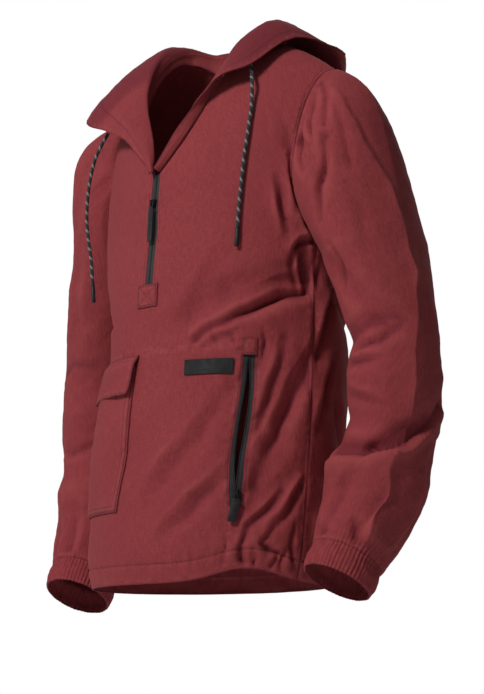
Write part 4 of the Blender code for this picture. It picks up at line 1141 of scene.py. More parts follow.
@dataclass(frozen=True)
class Torso:
    """The front in two pieces, and the back."""

    dip: float = 0.0011
    column_step: float = 1.05
    neck_step: float = 0.75
    row_step: float = 0.0031
    rise_step: float = 0.0100
    neck_x: float = 0.080
    neck_z: float = 0.022
    shoulder_x: float = 0.203
    shoulder_y: float = 0.012
    neck_angle: float = 34.0
    front_half_angle: float = 84.0
    back_half_angle: float = 96.0
    front_scoop: float = 17.5
    back_scoop: float = 24.0
    scoop_round: float = 0.30
    girth: float = 0.165
    zip_slot_angle: float = 2.0
    zip_seam_angle: float = 3.2

    @property
    def rows_below(self) -> list[float]:
        """Heights of the rows from the hem to the armpit."""
        return dense(LOWER_ROWS, self.row_step)

    @property
    def rises(self) -> list[float]:
        """Rises of the rows from above the armpit to the shoulder."""
        return dense(UPPER_ROWS, self.rise_step)[1:]

    @property
    def neck_front(self) -> list[float]:
        """Column angles of the front from the zip to the neck point."""
        return dense(NECK_FRONT_COLUMNS, self.neck_step)

    @property
    def neck_back(self) -> list[float]:
        """Column angles of the back from its middle to the neck point."""
        return dense(NECK_BACK_COLUMNS, self.neck_step * 1.6)

    @property
    def side_angles(self) -> list[float]:
        """Column angles of the front from the neck point to the side seam."""
        return dense(SIDE_COLUMNS, self.column_step)

    def on_section(self, z: Array, turn: Array) -> tuple[Array, Array]:
        """Points of level sections at heights, and turns in degrees from the centre front.

        Args:
            z: Heights.
            turn: Turns.

        Returns:
            The points' x and y.
        """
        knots, *columns = np.array(BODY_SECTIONS).T
        half_width, front, back, middle = (through(knots, values, z) for values in columns)
        cosine = np.cos(np.radians(turn))
        return half_width * np.sin(np.radians(turn)), middle - np.where(cosine > 0, front, back) * cosine

    def shoulder_height(self, x: Array) -> Array:
        """Height of the shoulder line: nearly level by the neck, steeper towards the arm."""
        out = x - self.neck_x
        return np.where(out > 0, self.neck_z - 0.26 * out - 1.9 * out * out, self.neck_z - 0.15 * out)

    def hem_lift(self, turn: Array, z: Array) -> Array:
        """How far the hem is drawn up beside the left hip."""
        share_down = np.clip((HEM_LIFT_Z - z) / (HEM_LIFT_Z - HEM_STITCH_Z), 0, 1)
        return 0.018 * share_down * bell((turn - 58.0) / 20.0)

    def pocket_lean(self, turn: Array, z: Array) -> Array:
        """Degrees by which the lines beside the pocket zip lean.

        Args:
            turn: Turns of the points.
            z: Their heights.

        Returns:
            The lean at each point.
        """
        off = turn - POCKET_ZIP_ANGLE
        lean = np.interp(z, (HEM_Z, POCKET_FOOT_Z, POCKET_TOP_Z, PATCH_FOOT_Z), (-0.8, -1.1, 0.5, 0.0))
        down = np.clip((POCKET_TOP_Z - z) / (POCKET_TOP_Z - POCKET_FOOT_Z), 0, 1)
        bowed = 1.5 * np.sin(np.pi * down ** 1.3) * bell((off + 2.7) / np.where(off < 0, 9.0, 4.0))
        return lean * bell(off / 20.0) - bowed + 0.5 * np.sin(2 * np.pi * down) * bell(off / 14.0)

    def labels(self, behind: bool) -> Array:
        """Angles that name the columns of the front or the back, to the wearer's left.

        Args:
            behind: True for the back.

        Returns:
            The angles.
        """
        if behind:
            stretch = (self.back_half_angle - self.neck_angle) / (self.front_half_angle - self.neck_angle)
            beside = [self.neck_angle + (a - self.neck_angle) * stretch for a in self.side_angles]
            half = self.neck_back + beside[1:]
            return np.array([-a for a in reversed(half[1:])] + half)
        half = self.neck_front + self.side_angles[1:]
        return np.array([-a for a in reversed(half)] + dense((-half[0], half[0]), 1.34)[1:-1] + half)

    def grid(self, behind: bool) -> tuple[Array, Array, Array]:
        """The smooth grid of the front or the back, before its fine folds.

        Args:
            behind: True for the back.

        Returns:
            Points, turns and column labels. Columns run to the wearer's left.
        """
        labels = self.labels(behind)
        half_angle = self.back_half_angle if behind else self.front_half_angle
        scoop = self.back_scoop if behind else self.front_scoop
        side, size = np.sign(labels), np.abs(labels)

        def turned(place: Array) -> Array:
            """Turns from the centre front at places from the panel's own middle."""
            return np.where(size == 0, 180.0, side * (180 - place)) if behind else side * place

        z = np.array(self.rows_below)[:, None]
        turn = np.broadcast_to(turned(size), (len(z), len(labels)))
        x, y = self.on_section(z, turn + self.pocket_lean(turn, z))
        rows = [(x, y, z + self.hem_lift(turn, z), turn)]
        knots, ends = zip(*(NECKLINE_BACK if behind else NECKLINE_FRONT))
        top_turn = through(knots, ends, np.minimum(size, self.neck_angle))
        beside = size > self.neck_angle
        outward = (size - self.neck_angle) / (half_angle - self.neck_angle)
        top_x = np.where(beside, self.neck_x + (self.shoulder_x - self.neck_x) * outward,
                         self.neck_x * size / self.neck_angle)
        late = np.clip(outward * 2, 0, 1)
        for rise in self.rises:
            edge = half_angle - scoop * math.sqrt(1 - max(1 - rise / self.scoop_round, 0) ** 2.5)
            narrow = self.neck_angle + (size - self.neck_angle) * (edge - self.neck_angle) / (
                half_angle - self.neck_angle)
            turn = turned(np.where(beside, narrow, size))
            base_x, base_y = self.on_section(np.array([ARMPIT_Z]), turn)
            lift = np.radians(np.where(size < self.neck_angle, top_turn, 90.0) * rise)
            spread = np.sin(lift) * (1 - late) + (1 - np.cos(lift)) * late
            x = base_x + (side * top_x - base_x) * spread
            y = self.shoulder_y + (base_y - self.shoulder_y) * np.cos(lift)
            z = ARMPIT_Z + (self.shoulder_height(top_x) - ARMPIT_Z) * np.sin(lift)
            rows.append(tuple(v[None] for v in (x, y, z, turn)))
        x, y, z, turn = (np.concatenate([row[i] for row in rows]) for i in range(4))
        depth = straight_folds(FRAME_BODY_FOLDS, turn, z, self.girth)
        depth += 0.0075 * np.exp(-((turn + 47.0) / 20.0) ** 2 - ((z + 0.405) / 0.065) ** 2)
        x = x - depth * np.sin(np.radians(turn))
        y = y + depth * np.cos(np.radians(turn))
        return np.stack([x, y, z], axis=-1), turn, labels

    def folded(self, points: Array, turn: Array, behind: bool) -> Array:
        """The grid with its finer folds, crumples and hem.

        Args:
            points: The smooth grid.
            turn: Turns of its points.
            behind: True for the back.

        Returns:
            The moved points.
        """
        z = points[..., 2]
        depth = creased(BODY_CREASES, points, turn, self.girth, 21)
        low = smooth((-0.30 - z) / 0.25)
        rough = (0.4 + 0.6 * low) * (0.35 + 0.65 * smooth((np.abs(turn) - 30.0) / 35.0))
        depth += 0.0014 * waves(points, 11, 0.085, (1, 1, 1.7)) * rough
        depth += 0.0012 * np.abs(waves(points, 12, 0.060, (1, 1, 1.5))) * rough
        depth += 0.00045 * waves(points, 13, 0.024) * (0.35 + 0.4 * low)
        depth += 0.00014 * waves(points, 14, 0.011)
        for off, reach in self.seam_distances(points, turn, behind):
            depth += 0.0011 * waves(points, 16, 0.013) * bell(off / reach)
        hem = HEM_STITCH_Z + self.hem_lift(turn, np.full(z.shape, HEM_STITCH_Z)) - z
        depth += bell(hem / 0.012) * 0.0009 * waves(points, 15, 0.014, (1, 1, 5))
        hitch = bell((turn - 62.0) / 14.0) * bell(hem / 0.017)
        depth += hitch * 0.0030 * waves(points, 17, 0.017, (1, 1, 2.5))
        depth -= 0.0007 * smooth(hem / 0.002 + 0.5)
        depth += 0.0006 * bell(hem / 0.0016)
        rows, cols = z.shape
        depth *= smooth(np.minimum(inside(rows)[:, None], inside(cols)[None, :]) / 3.0)
        return points - grid_normals(points) * depth[..., None]

    def seam_distances(self, points: Array, turn: Array, behind: bool) -> list[tuple[Array, float]]:
        """How far each point is from the seams that pucker, and how far each seam's puckers reach.

        Args:
            points: The grid.
            turn: Turns of its points.
            behind: True for the back.

        Returns:
            Distances and reaches.
        """
        z = points[..., 2]
        found = [(np.linalg.norm(points - points[:, edge:][:, :1], axis=-1), 0.010) for edge in (0, -1)]
        if not behind:
            found.append((np.where(turn < POCKET_FRONT_ANGLE, np.abs(z - WAIST_Z), 1.0), 0.007))
            beside_zip = np.abs(np.radians(turn - POCKET_ZIP_ANGLE) * self.girth)
            beside = (z > POCKET_FOOT_Z) & (z < WAIST_Z)
            found.append((np.where(beside, np.abs(beside_zip - 0.011), 1.0), 0.006))
        return found

    def stitch_lines(self, labels: Array, behind: bool) -> list[Line]:
        """Rows and columns from and to which the stitches run.

        Args:
            labels: Labels of the columns.
            behind: True for the back.

        Returns:
            First and last row, first and last column of each line.
        """
        below, last, wide = self.rows_below, len(labels) - 1, len(self.side_angles)
        pit, top = len(below) - 1, len(below) + len(self.rises) - 1
        hem, beside = nearest(below, HEM_STITCH_Z), (2, last - 2)
        lines = [(hem, hem, 0, last)]
        if not behind:
            lines += [(0, pit, col, col) for col in beside]
        lines += [(pit + 4, top - 2, col, col) for col in beside]
        if behind:
            return lines
        lines += [(top - 2, top - 2, *cols) for cols in ((3, wide - 1), (last - wide + 1, last - 3))]
        for angle in (-self.zip_seam_angle, self.zip_seam_angle):
            lines.append((nearest(below, ZIP_FOOT_Z) + 1, top - 3, *(nearest(labels, angle),) * 2))
        foot, head = nearest(below, POCKET_FOOT_Z) - 1, nearest(below, POCKET_TOP_Z)
        edges = (nearest(labels, POCKET_FRONT_ANGLE) - 1, nearest(labels, POCKET_SIDE_ANGLE) + 1)
        return lines + [(foot, head, col, col) for col in edges]

    def skins(self) -> tuple[Skin, Skin]:
        """The front and the back, with the same ways out along their seams.

        Returns:
            Both skins.
        """
        made = []
        for behind in (False, True):
            points, turn, labels = self.grid(behind)
            if behind:
                points, turn = points[:, ::-1], turn[:, ::-1]
            points = self.folded(points, turn, behind)
            lines = tuple(self.stitch_lines(labels, behind))
            points = points - grid_normals(points) * 0.0006 * grooved(turn.shape, lines)[..., None]
            pocket = nearest(labels, POCKET_FRONT_ANGLE)
            foot, waist = (nearest(self.rows_below, z) for z in (POCKET_FOOT_Z, WAIST_Z))
            flat = () if behind else ((0, foot - 1, pocket, pocket), (waist, waist, 1, pocket))
            made.append(Skin(points, grid_normals(points), labels, lines=lines, flat=flat))
        front, back = made
        under_arm, wide = slice(0, len(self.rows_below)), len(self.side_angles)
        for near, far in ((-1, 0), (0, -1)):
            share(front.normals, (under_arm, near), back.normals, (under_arm, far))
        share(front.normals, (-1, slice(-wide, None)), back.normals, (-1, slice(wide - 1, None, -1)))
        share(front.normals, (-1, slice(0, wide)), back.normals, (-1, slice(None, -wide - 1, -1)))
        return front, back

    def build(self, front: Skin, back: Skin, finishes: Finishes) -> None:
        """Build and dress the three pieces.

        Args:
            front: The skin of the front.
            back: The skin of the back.
            finishes: The finishes.
        """
        upper = np.zeros((front.points.shape[0] - 1, front.points.shape[1] - 1), dtype=bool)
        slot = slice(*(nearest(front.labels, turn) for turn in (-self.zip_slot_angle, self.zip_slot_angle)))
        pocket = slice(*(nearest(front.labels, turn) for turn in (POCKET_FRONT_ANGLE, POCKET_SIDE_ANGLE)))
        foot, head, waist, zip_foot = (nearest(self.rows_below, z)
                                       for z in (POCKET_FOOT_Z, POCKET_TOP_Z, WAIST_Z, ZIP_FOOT_Z))
        upper[waist:] = True
        upper[:, pocket.start:] = True
        lower = ~upper
        upper[foot:head, pocket] = False
        upper[zip_foot:, slot] = False
        for node, skin, keep in (("front_upper", front, upper), ("front_lower", front, lower),
                                 ("back", back, None)):
            sew(node, skin, finishes.cloth, dip=self.dip, keep=keep)


@dataclass(frozen=True)
class Panels:
    """The torso and the skins of its front and back."""

    torso: Torso
    front: Skin
    back: Skin

    def mirrored(self) -> "Panels":
        """The same with the wearer's sides exchanged.

        Returns:
            The panels.
        """
        front, back = (Skin(skin.points[:, ::-1] * MIRROR, skin.normals[:, ::-1] * MIRROR, skin.labels)
                       for skin in (self.front, self.back))
        return Panels(self.torso, front, back)


# ---------------------------------------------------------------- sleeves and cuffs
@dataclass(frozen=True)
class Sleeve:
    """One sleeve from its armhole to the cuff, with the gathered cuff.

    Attributes:
        side: The wearer's side.
        creases: Its own folds.
        seed: Chooses its crumples.
        large: How strong the frame's large folds are on it.
        rough: How strong its crumples are.
    """

    side: Side
    creases: Sequence
    seed: int
    large: float
    rough: float
    dip: float = 0.0010
    ring_step: float = 0.0036
    girth: float = 0.064
    gathers: int = 56
    cuff_length: float = 0.035
    gather_reach: float = 0.034
    tuck: float = 0.0014

    def axis(self, place: float) -> tuple[Array, Array, Array]:
        """Middle of the arm's tube, its half widths and its direction at a place along its table.

        Args:
            place: The place, 0 at the table's first row.

        Returns:
            The middle, the half widths and the direction.
        """
        at = np.array([place, min(place + 0.05, WRIST), max(place - 0.05, 0.0)])
        here, ahead, behind = through(np.arange(len(SLEEVE_SECTIONS)), SLEEVE_SECTIONS, at)
        return here[:3], here[3:], unit(ahead[:3] - behind[:3])

    def ring(self, place: float, turn: Array, swell: float = 0.0) -> Array:
        """An ellipse square to the arm.

        Args:
            place: Place along the arm's table.
            turn: Turns of its points; 0 is outward and 90 is to the front.
            swell: How much wider it is than the table says.

        Returns:
            The points.
        """
        middle, widths, direction = self.axis(place)
        outward = unit(np.array([1.0, 0.0, 0.0]) - direction[0] * direction)
        forward = np.cross(direction, outward)
        turn = np.radians(turn)[:, None]
        return (middle + (widths[0] + swell) * np.cos(turn) * outward
                + (widths[1] + swell) * np.sin(turn) * forward)

    def seam(self, panels: Panels) -> tuple[Array, Array, int]:
        """The left armhole from the shoulder tip down its front to the armpit and up its back.

        Args:
            panels: The torso's panels.

        Returns:
            Points, the panels' ways out there, and where the armpit stands.
        """
        front, back = panels.front, panels.back
        pit, top = len(panels.torso.rows_below) - 1, front.points.shape[0]
        down, up = range(top - 1, pit - 1, -1), range(pit + 1, top - 1)
        points = np.concatenate([front.points[down, -1], back.points[up, 0]])
        normals = np.concatenate([front.normals[down, -1], back.normals[up, 0]])
        return points, normals, len(down) - 1

    def grid(self, panels: Panels) -> tuple[Array, Array, Array, Array]:
        """Rings of the left sleeve before its fine folds.

        Args:
            panels: The torso's panels.

        Returns:
            Points, turns, places along the table (less than 0 in the cap), and the armhole's ways out.
        """
        seam, normals, pit = self.seam(panels)
        walked = walk(np.concatenate([seam, seam[:1]]))
        turn = np.where(np.arange(len(seam)) <= pit, 180 * walked[:-1] / walked[pit],
                        180 + 180 * (walked[:-1] - walked[pit]) / (walked[-1] - walked[pit]))
        first = self.ring(0.0, turn)
        cosine, sine = np.cos(np.radians(turn))[:, None], np.sin(np.radians(turn))[:, None]
        outer = (1 + cosine) / 2
        start = outer * np.array([0.94, 0.0, -0.33]) + (1 - outer) * np.array([0.30, 0.0, -1.0])
        start = unit(start + np.abs(sine) * np.array([0.27, 0.0, 0.0]) + sine * np.array([0.0, -1.1, 0.0]))
        start = start * (0.072 + 0.242 * outer)
        end = self.axis(0.0)[2] * (0.058 + 0.327 * outer)
        caps = np.linspace(0, 1, 64)[:-1]
        rings = [seam * (1 + 2 * t) * (1 - t) ** 2 + start * t * (1 - t) ** 2
                 + first * t * t * (3 - 2 * t) - end * t * t * (1 - t) for t in caps]
        places = np.linspace(0, WRIST, math.ceil(0.42 / self.ring_step))
        points = np.array(rings + [self.ring(place, turn) for place in places])
        signed = np.where(turn > 180, turn - 360, turn)
        place = np.concatenate([caps - 1.0, places])
        depth = straight_folds(FRAME_SLEEVE_FOLDS, signed[None, :], points[..., 2], self.girth) * self.large
        depth *= (smooth((place + 1) / 0.08) * smooth((WRIST - place) / 0.4))[:, None]
        points = points - grid_normals(points, wrap=True) * depth[..., None]
        return points, signed, place, normals

    def swelled(self, points: Array, place: Array) -> Array:
        """The right sleeve with the outer side of its cap moved, most of all a quarter of the way down.

        Args:
            points: The smooth rings.
            place: Places of the rings.

        Returns:
            The moved points.
        """
        down = np.minimum(place + 1, 1.0)
        along = down * (1 - down) ** 3 / (0.25 * 0.75 ** 3)
        x = points[..., 0]
        near, far = x.max(axis=1, keepdims=True), x.min(axis=1, keepdims=True)
        share_out = along[:, None] * ((near - x) / (near - far))
        return points + share_out[..., None] * np.array([-0.016, -0.017, 0.0])

    def folded(self, points: Array, turn: Array, place: Array) -> Array:
        """The rings with their finer folds, crumples and the gathers above the cuff.

        Args:
            points: The smooth rings.
            turn: Turns of the columns, from the outer line; the front is positive.
            place: Places of the rings.

        Returns:
            The moved points.
        """
        z = points[..., 2]
        turn = np.broadcast_to(turn, z.shape)
        depth = creased(self.creases, points, turn, self.girth, 25)
        elbow, wrist = bell((z + 0.44) / 0.10), smooth((-0.52 - z) / 0.10)
        rough = (0.30 + 0.35 * elbow + 0.30 * wrist) * self.rough
        down = place[:, None] + 1
        left = WRIST - place[:, None]
        depth += 0.0016 * waves(points, self.seed + 1, 0.075, (1, 1, 1.3)) * rough
        depth += 0.0014 * np.abs(waves(points, self.seed + 2, 0.052, (1.2, 1.2, 1))) * rough
        depth += 0.00045 * waves(points, self.seed + 3, 0.022) * (0.5 + 0.5 * wrist + 0.4 * elbow)
        depth += 0.00016 * waves(points, self.seed + 4, 0.011)
        depth += 0.0012 * bell(down / 0.045) * waves(points, self.seed + 5, 0.015) * smooth(down / 0.012)
        depth *= smooth(left / 0.45)
        reach = self.gather_reach * (0.75 + 0.45 * waves(points * np.array([1, 1, 0]), self.seed + 6, 0.02))
        depth -= 0.0009 * self.ripple(turn) * bell(left * 0.030 / np.maximum(reach, 0.008))
        return points - grid_normals(points, wrap=True) * (depth * smooth(down / 0.05))[..., None]

    def ripple(self, turn: Array) -> Array:
        """Uneven gathers round the wrist.

        Args:
            turn: Turns round it.

        Returns:
            Heights of about -1 to 1.
        """
        source = np.random.default_rng(self.seed)
        round_it = np.radians(turn)
        drift = sum(source.uniform(0.25, 0.55) * np.sin(n * round_it + source.uniform(0, 6.28))
                    for n in (2, 3, 5, 7))
        wave = np.cos(self.gathers * round_it + drift)
        uneven = (0.62 + 0.22 * np.sin(9 * round_it + self.seed)
                  + 0.16 * np.sin(23 * round_it + 2.0 * self.seed))
        return np.sign(wave) * np.abs(wave) ** 0.8 * uneven

    def cuff(self) -> Array:
        """Rings of the left cuff: an elastic casing drawn into gathers.

        Returns:
            The rings.
        """
        turn = np.arange(7 * self.gathers) * 360 / (7 * self.gathers)
        signed = np.where(turn > 180, turn - 360, turn)
        middle, _, direction = self.axis(WRIST)
        ripple = self.ripple(signed)[:, None]
        places = np.linspace(0, 1, 22)
        rings = []
        for along, (swell, wave) in zip(places, through(*split(CUFF_PROFILE), places)):
            flat = self.ring(WRIST, signed, swell)
            drift = 0.0005 * waves(flat + direction * along * 0.05, 7, 0.016)[:, None]
            rings.append(flat + unit(flat - middle) * (ripple * wave + drift)
                         + direction * (along * (self.cuff_length + self.tuck) - self.tuck))
        return np.array(rings)

    def mirror(self, points: Array) -> Array:
        """The grid on the wearer's right, with its columns turned so that it still faces out."""
        return (points * MIRROR)[:, ::-1]

    def build(self, panels: Panels, finishes: Finishes) -> Skin:
        """Build and dress the sleeve and its cuff.

        Args:
            panels: The torso's panels.
            finishes: The finishes.

        Returns:
            The cuff's skin.
        """
        right = self.side is Side.RIGHT
        points, turn, place, armhole = self.grid(panels.mirrored() if right else panels)
        off = np.arange(points.shape[1]) - int(np.argmin(points[0, :, 2]))
        points[0, :, 0] += 0.0007 * bell(off / 8.0)
        points[1, :, 0] += 0.0004 * bell(off / 8.0)
        if right:
            points, turn = self.swelled(self.mirror(points), place), turn[::-1]
            armhole = self.mirror(armhole[None])[0]
        points = self.folded(points, turn, place)
        normals = grid_normals(points, wrap=True)
        normals[0] = unit(armhole + normals[0])
        sew(f"sleeve_{self.side}", Skin(points, normals, wrap=True), finishes.cloth, dip=self.dip)
        rings = self.mirror(self.cuff()) if right else self.cuff()
        cuff = Skin(rings, grid_normals(rings, wrap=True), wrap=True)
        sew(f"cuff_{self.side}", cuff, finishes.cloth, dip=0.2 * self.dip)
        return cuff


# ---------------------------------------------------------------- hood
@dataclass(frozen=True)
class Hood:
    """The two halves of the hood, which hangs behind and ends in the open lapels of the V."""

    wall: float = 0.0020
    steps: int = 46

    def seam(self, panels: Panels, side: Side) -> tuple[Array, Array, Array]:
        """The neck seam from the foot of the V to the centre back, on one side.

        Args:
            panels: The torso's panels.
            side: The wearer's side.

        Returns:
            Points, the panels' ways out, and the hood's own places of these points.
        """
        torso, front, back = panels.torso, panels.front, panels.back
        ahead = [nearest(front.labels, side.value * a) for a in torso.neck_front]
        behind = [nearest(back.labels, -side.value * a) for a in reversed(torso.neck_back)][1:]
        points = np.concatenate([front.points[-1, ahead], back.points[-1, behind]])
        normals = np.concatenate([front.normals[-1, ahead], back.normals[-1, behind]])
        places = np.concatenate([
            np.interp(torso.neck_front, NECK_FRONT_COLUMNS, np.arange(7)),
            np.interp(list(reversed(torso.neck_back))[1:], NECK_BACK_COLUMNS, (10, 9, 8, 7, 6))])
        return points, normals, places

    def skin(self, panels: Panels) -> Skin:
        """The whole hood: columns from the left foot of the V round the back to the right.

        Args:
            panels: The torso's panels.

        Returns:
            The skin; its labels are the places of its columns, negative on the right.
        """
        halves = []
        for side in Side:
            seam, out, at = self.seam(panels, side)
            rows = [(place, seam[nearest(at, place)] + np.array(net)) for place, *net in HOOD_FRONTS[side]]
            rows += [(HOOD_SHOULDER_PLACE, np.array(HOOD_SHOULDERS[side]))]
            rows += [(place, np.array(net) * np.array([side.value, 1.0, 1.0])) for place, *net in HOOD_BEHIND]
            nets = through(*zip(*rows), at)
            lines = np.concatenate([seam[None], nets.transpose(1, 0, 2)], axis=0)
            half = through(np.linspace(0, 1, 5), lines, np.linspace(0, 1, self.steps))
            half[0] = seam
            halves.append((half, out, at))
        (left, left_out, places), (right, right_out, _) = halves
        points = np.concatenate([left, right[:, -2::-1]], axis=1)
        neck = np.concatenate([left_out, right_out[-2::-1]], axis=0)
        places = np.concatenate([places, -places[-2::-1]])
        lines = self.stitch_lines(places)
        points = self.folded(points, places, lines)
        normals = grid_normals(points)
        normals[0] = unit(neck + normals[0])
        return Skin(points, normals, places, lines=lines)

    def stitch_lines(self, places: Array) -> tuple[Line, ...]:
        """First and last row, first and last column of each line of stitches.

        Args:
            places: Places of the columns.

        Returns:
            The lines: both casings, and both sides of the centre seam.
        """
        middle, last, end = nearest(np.abs(places), HOOD_MIDDLE_PLACE), len(places) - 1, self.steps - 1
        along = tuple((row, row, 1, last - 1) for row in (round(0.86 * end), round(0.14 * end)))
        return along + tuple((1, end, col, col) for col in (middle - 2, middle + 2))

    def folded(self, points: Array, places: Array, lines: Sequence[Line]) -> Array:
        """The hood with its folds and crumples; the lapels in front stay smoother.

        Args:
            points: The smooth grid.
            places: Places of its columns.
            lines: Its lines of stitches.

        Returns:
            The moved points.
        """
        down = np.linspace(0, 1, len(points))[:, None]
        behind = smooth((np.abs(places) - 5.2) / 1.6)[None, :]
        depth = 0.0035 * waves(points, 51, 0.095, (1, 1, 1.5)) * behind
        depth += 0.0028 * np.abs(waves(points, 52, 0.07)) * behind
        depth += 0.0006 * waves(points, 53, 0.024) * (0.35 + 0.65 * behind)
        depth += 0.00015 * waves(points, 54, 0.011)
        depth += 0.0006 * grooved(depth.shape, lines)
        edge = smooth(down / 0.08) * smooth((1 - down) / 0.03 + 0.3)
        sides = smooth(inside(len(places)) / 4.0)[None, :]
        return points - grid_normals(points) * (depth * edge * sides)[..., None]

    def build(self, panels: Panels, finishes: Finishes) -> Skin:
        """Build and dress both halves.

        Args:
            panels: The torso's panels.
            finishes: The finishes.

        Returns:
            The skin that the halves share.
        """
        skin = self.skin(panels)
        middle = nearest(np.abs(skin.labels), HOOD_MIDDLE_PLACE)
        for side in Side:
            keep = np.zeros((skin.points.shape[0] - 1, skin.points.shape[1] - 1), dtype=bool)
            keep[:, slice(middle) if side is Side.LEFT else slice(middle, None)] = True
            sew(f"hood_{side}", skin, finishes.cloth, wall=self.wall, keep=keep)
        return skin


# ---------------------------------------------------------------- stitching
class Needle:
    """Rows of stitches, each stitch a small raised dash of thread."""

    def __init__(self, thread: bpy.types.Material) -> None:
        """Take the thread."""
        self.thread = thread

    def dash(self, length: float, width: float) -> bpy.types.Object:
        """One stitch along x: a slim lozenge that dips into the cloth at its ends.

        Args:
            length: Its length.
            width: The thread's width.

        Returns:
            The stitch.
        """
        half, low, high, body = width / 2, -0.0002, width * 0.55, 0.32 * length
        points = np.array([(-length / 2, 0, low), (-body, -half, low), (-body, half, low), (-body, 0, high),
                           (body, -half, low), (body, half, low), (body, 0, high), (length / 2, 0, low)])
        return make_mesh("stitch", points, [
            (0, 1, 3), (0, 3, 2), (0, 2, 1), (1, 4, 6), (1, 6, 3), (3, 6, 5), (3, 5, 2), (2, 5, 4), (2, 4, 1),
            (4, 7, 6), (6, 7, 5), (5, 7, 4)])

    def sew_rows(self, name: str, rows: Iterable[tuple[Array, Array]], pitch: float = 0.0030,
                 length: float = 0.0024, width: float = 0.00080) -> None:
        """Sew rows of stitches as one piece.

        Args:
            name: The piece's name.
            rows: For each row, its points and the way out at each.
            pitch: Distance from stitch to stitch.
            length: Length of a stitch.
            width: Width of the thread.
        """
        spots, along, out = [], [], []
        for points, normals in rows:
            walked = walk(points)
            at = np.arange(pitch / 2, walked[-1], pitch)
            spots.append(read(at, walked, points))
            along.append(unit(read(at + pitch / 3, walked, points) - read(at - pitch / 3, walked, points)))
            out.append(unit(read(at, walked, normals)))
        piece = scatter(name, self.dash(length, width), *(np.concatenate(v) for v in (spots, along, out)))
        put(piece, self.thread)


def run(skin: Skin, rows: Sequence[float], cols: Sequence[float], count: int = 260) -> tuple[Array, Array]:
    """A line on a skin.

    Args:
        skin: The skin.
        rows: Fractional rows that it goes through.
        cols: The columns there.
        count: How many points it has.

    Returns:
        Its points and the ways out.
    """
    knots, at = np.linspace(0, 1, len(rows)), np.linspace(0, 1, count)
    row, col = np.interp(at, knots, rows), np.interp(at, knots, cols)
    return at_grid(skin.points, row, col), unit(at_grid(skin.normals, row, col))


def edges(skin: Skin, ring: int, sides: str = "bottom left top right") -> list[tuple[Array, Array]]:
    """Lines that follow a small piece's edges, some cells inside them."""
    return [run(skin, line[:2], line[2:]) for line in ring_lines(skin.points.shape, ring, sides)]


def topstitch(panels: Panels, hood: Skin, cuffs: Sequence[Skin], needle: Needle) -> None:
    """Sew the rows along the seams, the hem, the casings and the cuffs.

    Args:
        panels: The torso's panels.
        hood: The hood.
        cuffs: Both cuffs.
        needle: The needle.
    """
    body, over = ([run(skin, line[:2], line[2:], 900) for skin in skins for line in skin.lines]
                  for skins in ((panels.front, panels.back), (hood,)))
    needle.sew_rows("body_topstitching", body)
    cols = [nearest(hood.labels, -place) for place in LAPEL_LINE_PLACES]
    over += [run(hood, [row - inwards for row in LAPEL_LINE_ROWS], cols) for inwards in (0.0, 3.5)]
    needle.sew_rows("hood_topstitching", over, width=0.0010)
    ends = [((part * (cuff.points.shape[0] - 1),) * 2, cuff) for cuff in cuffs for part in (0.12, 0.88)]
    round_it = [run(cuff, rows, (0, cuff.points.shape[1] - 1), 1200) for rows, cuff in ends]
    needle.sew_rows("cuff_topstitching", round_it, pitch=0.0026, length=0.0020, width=0.0006)


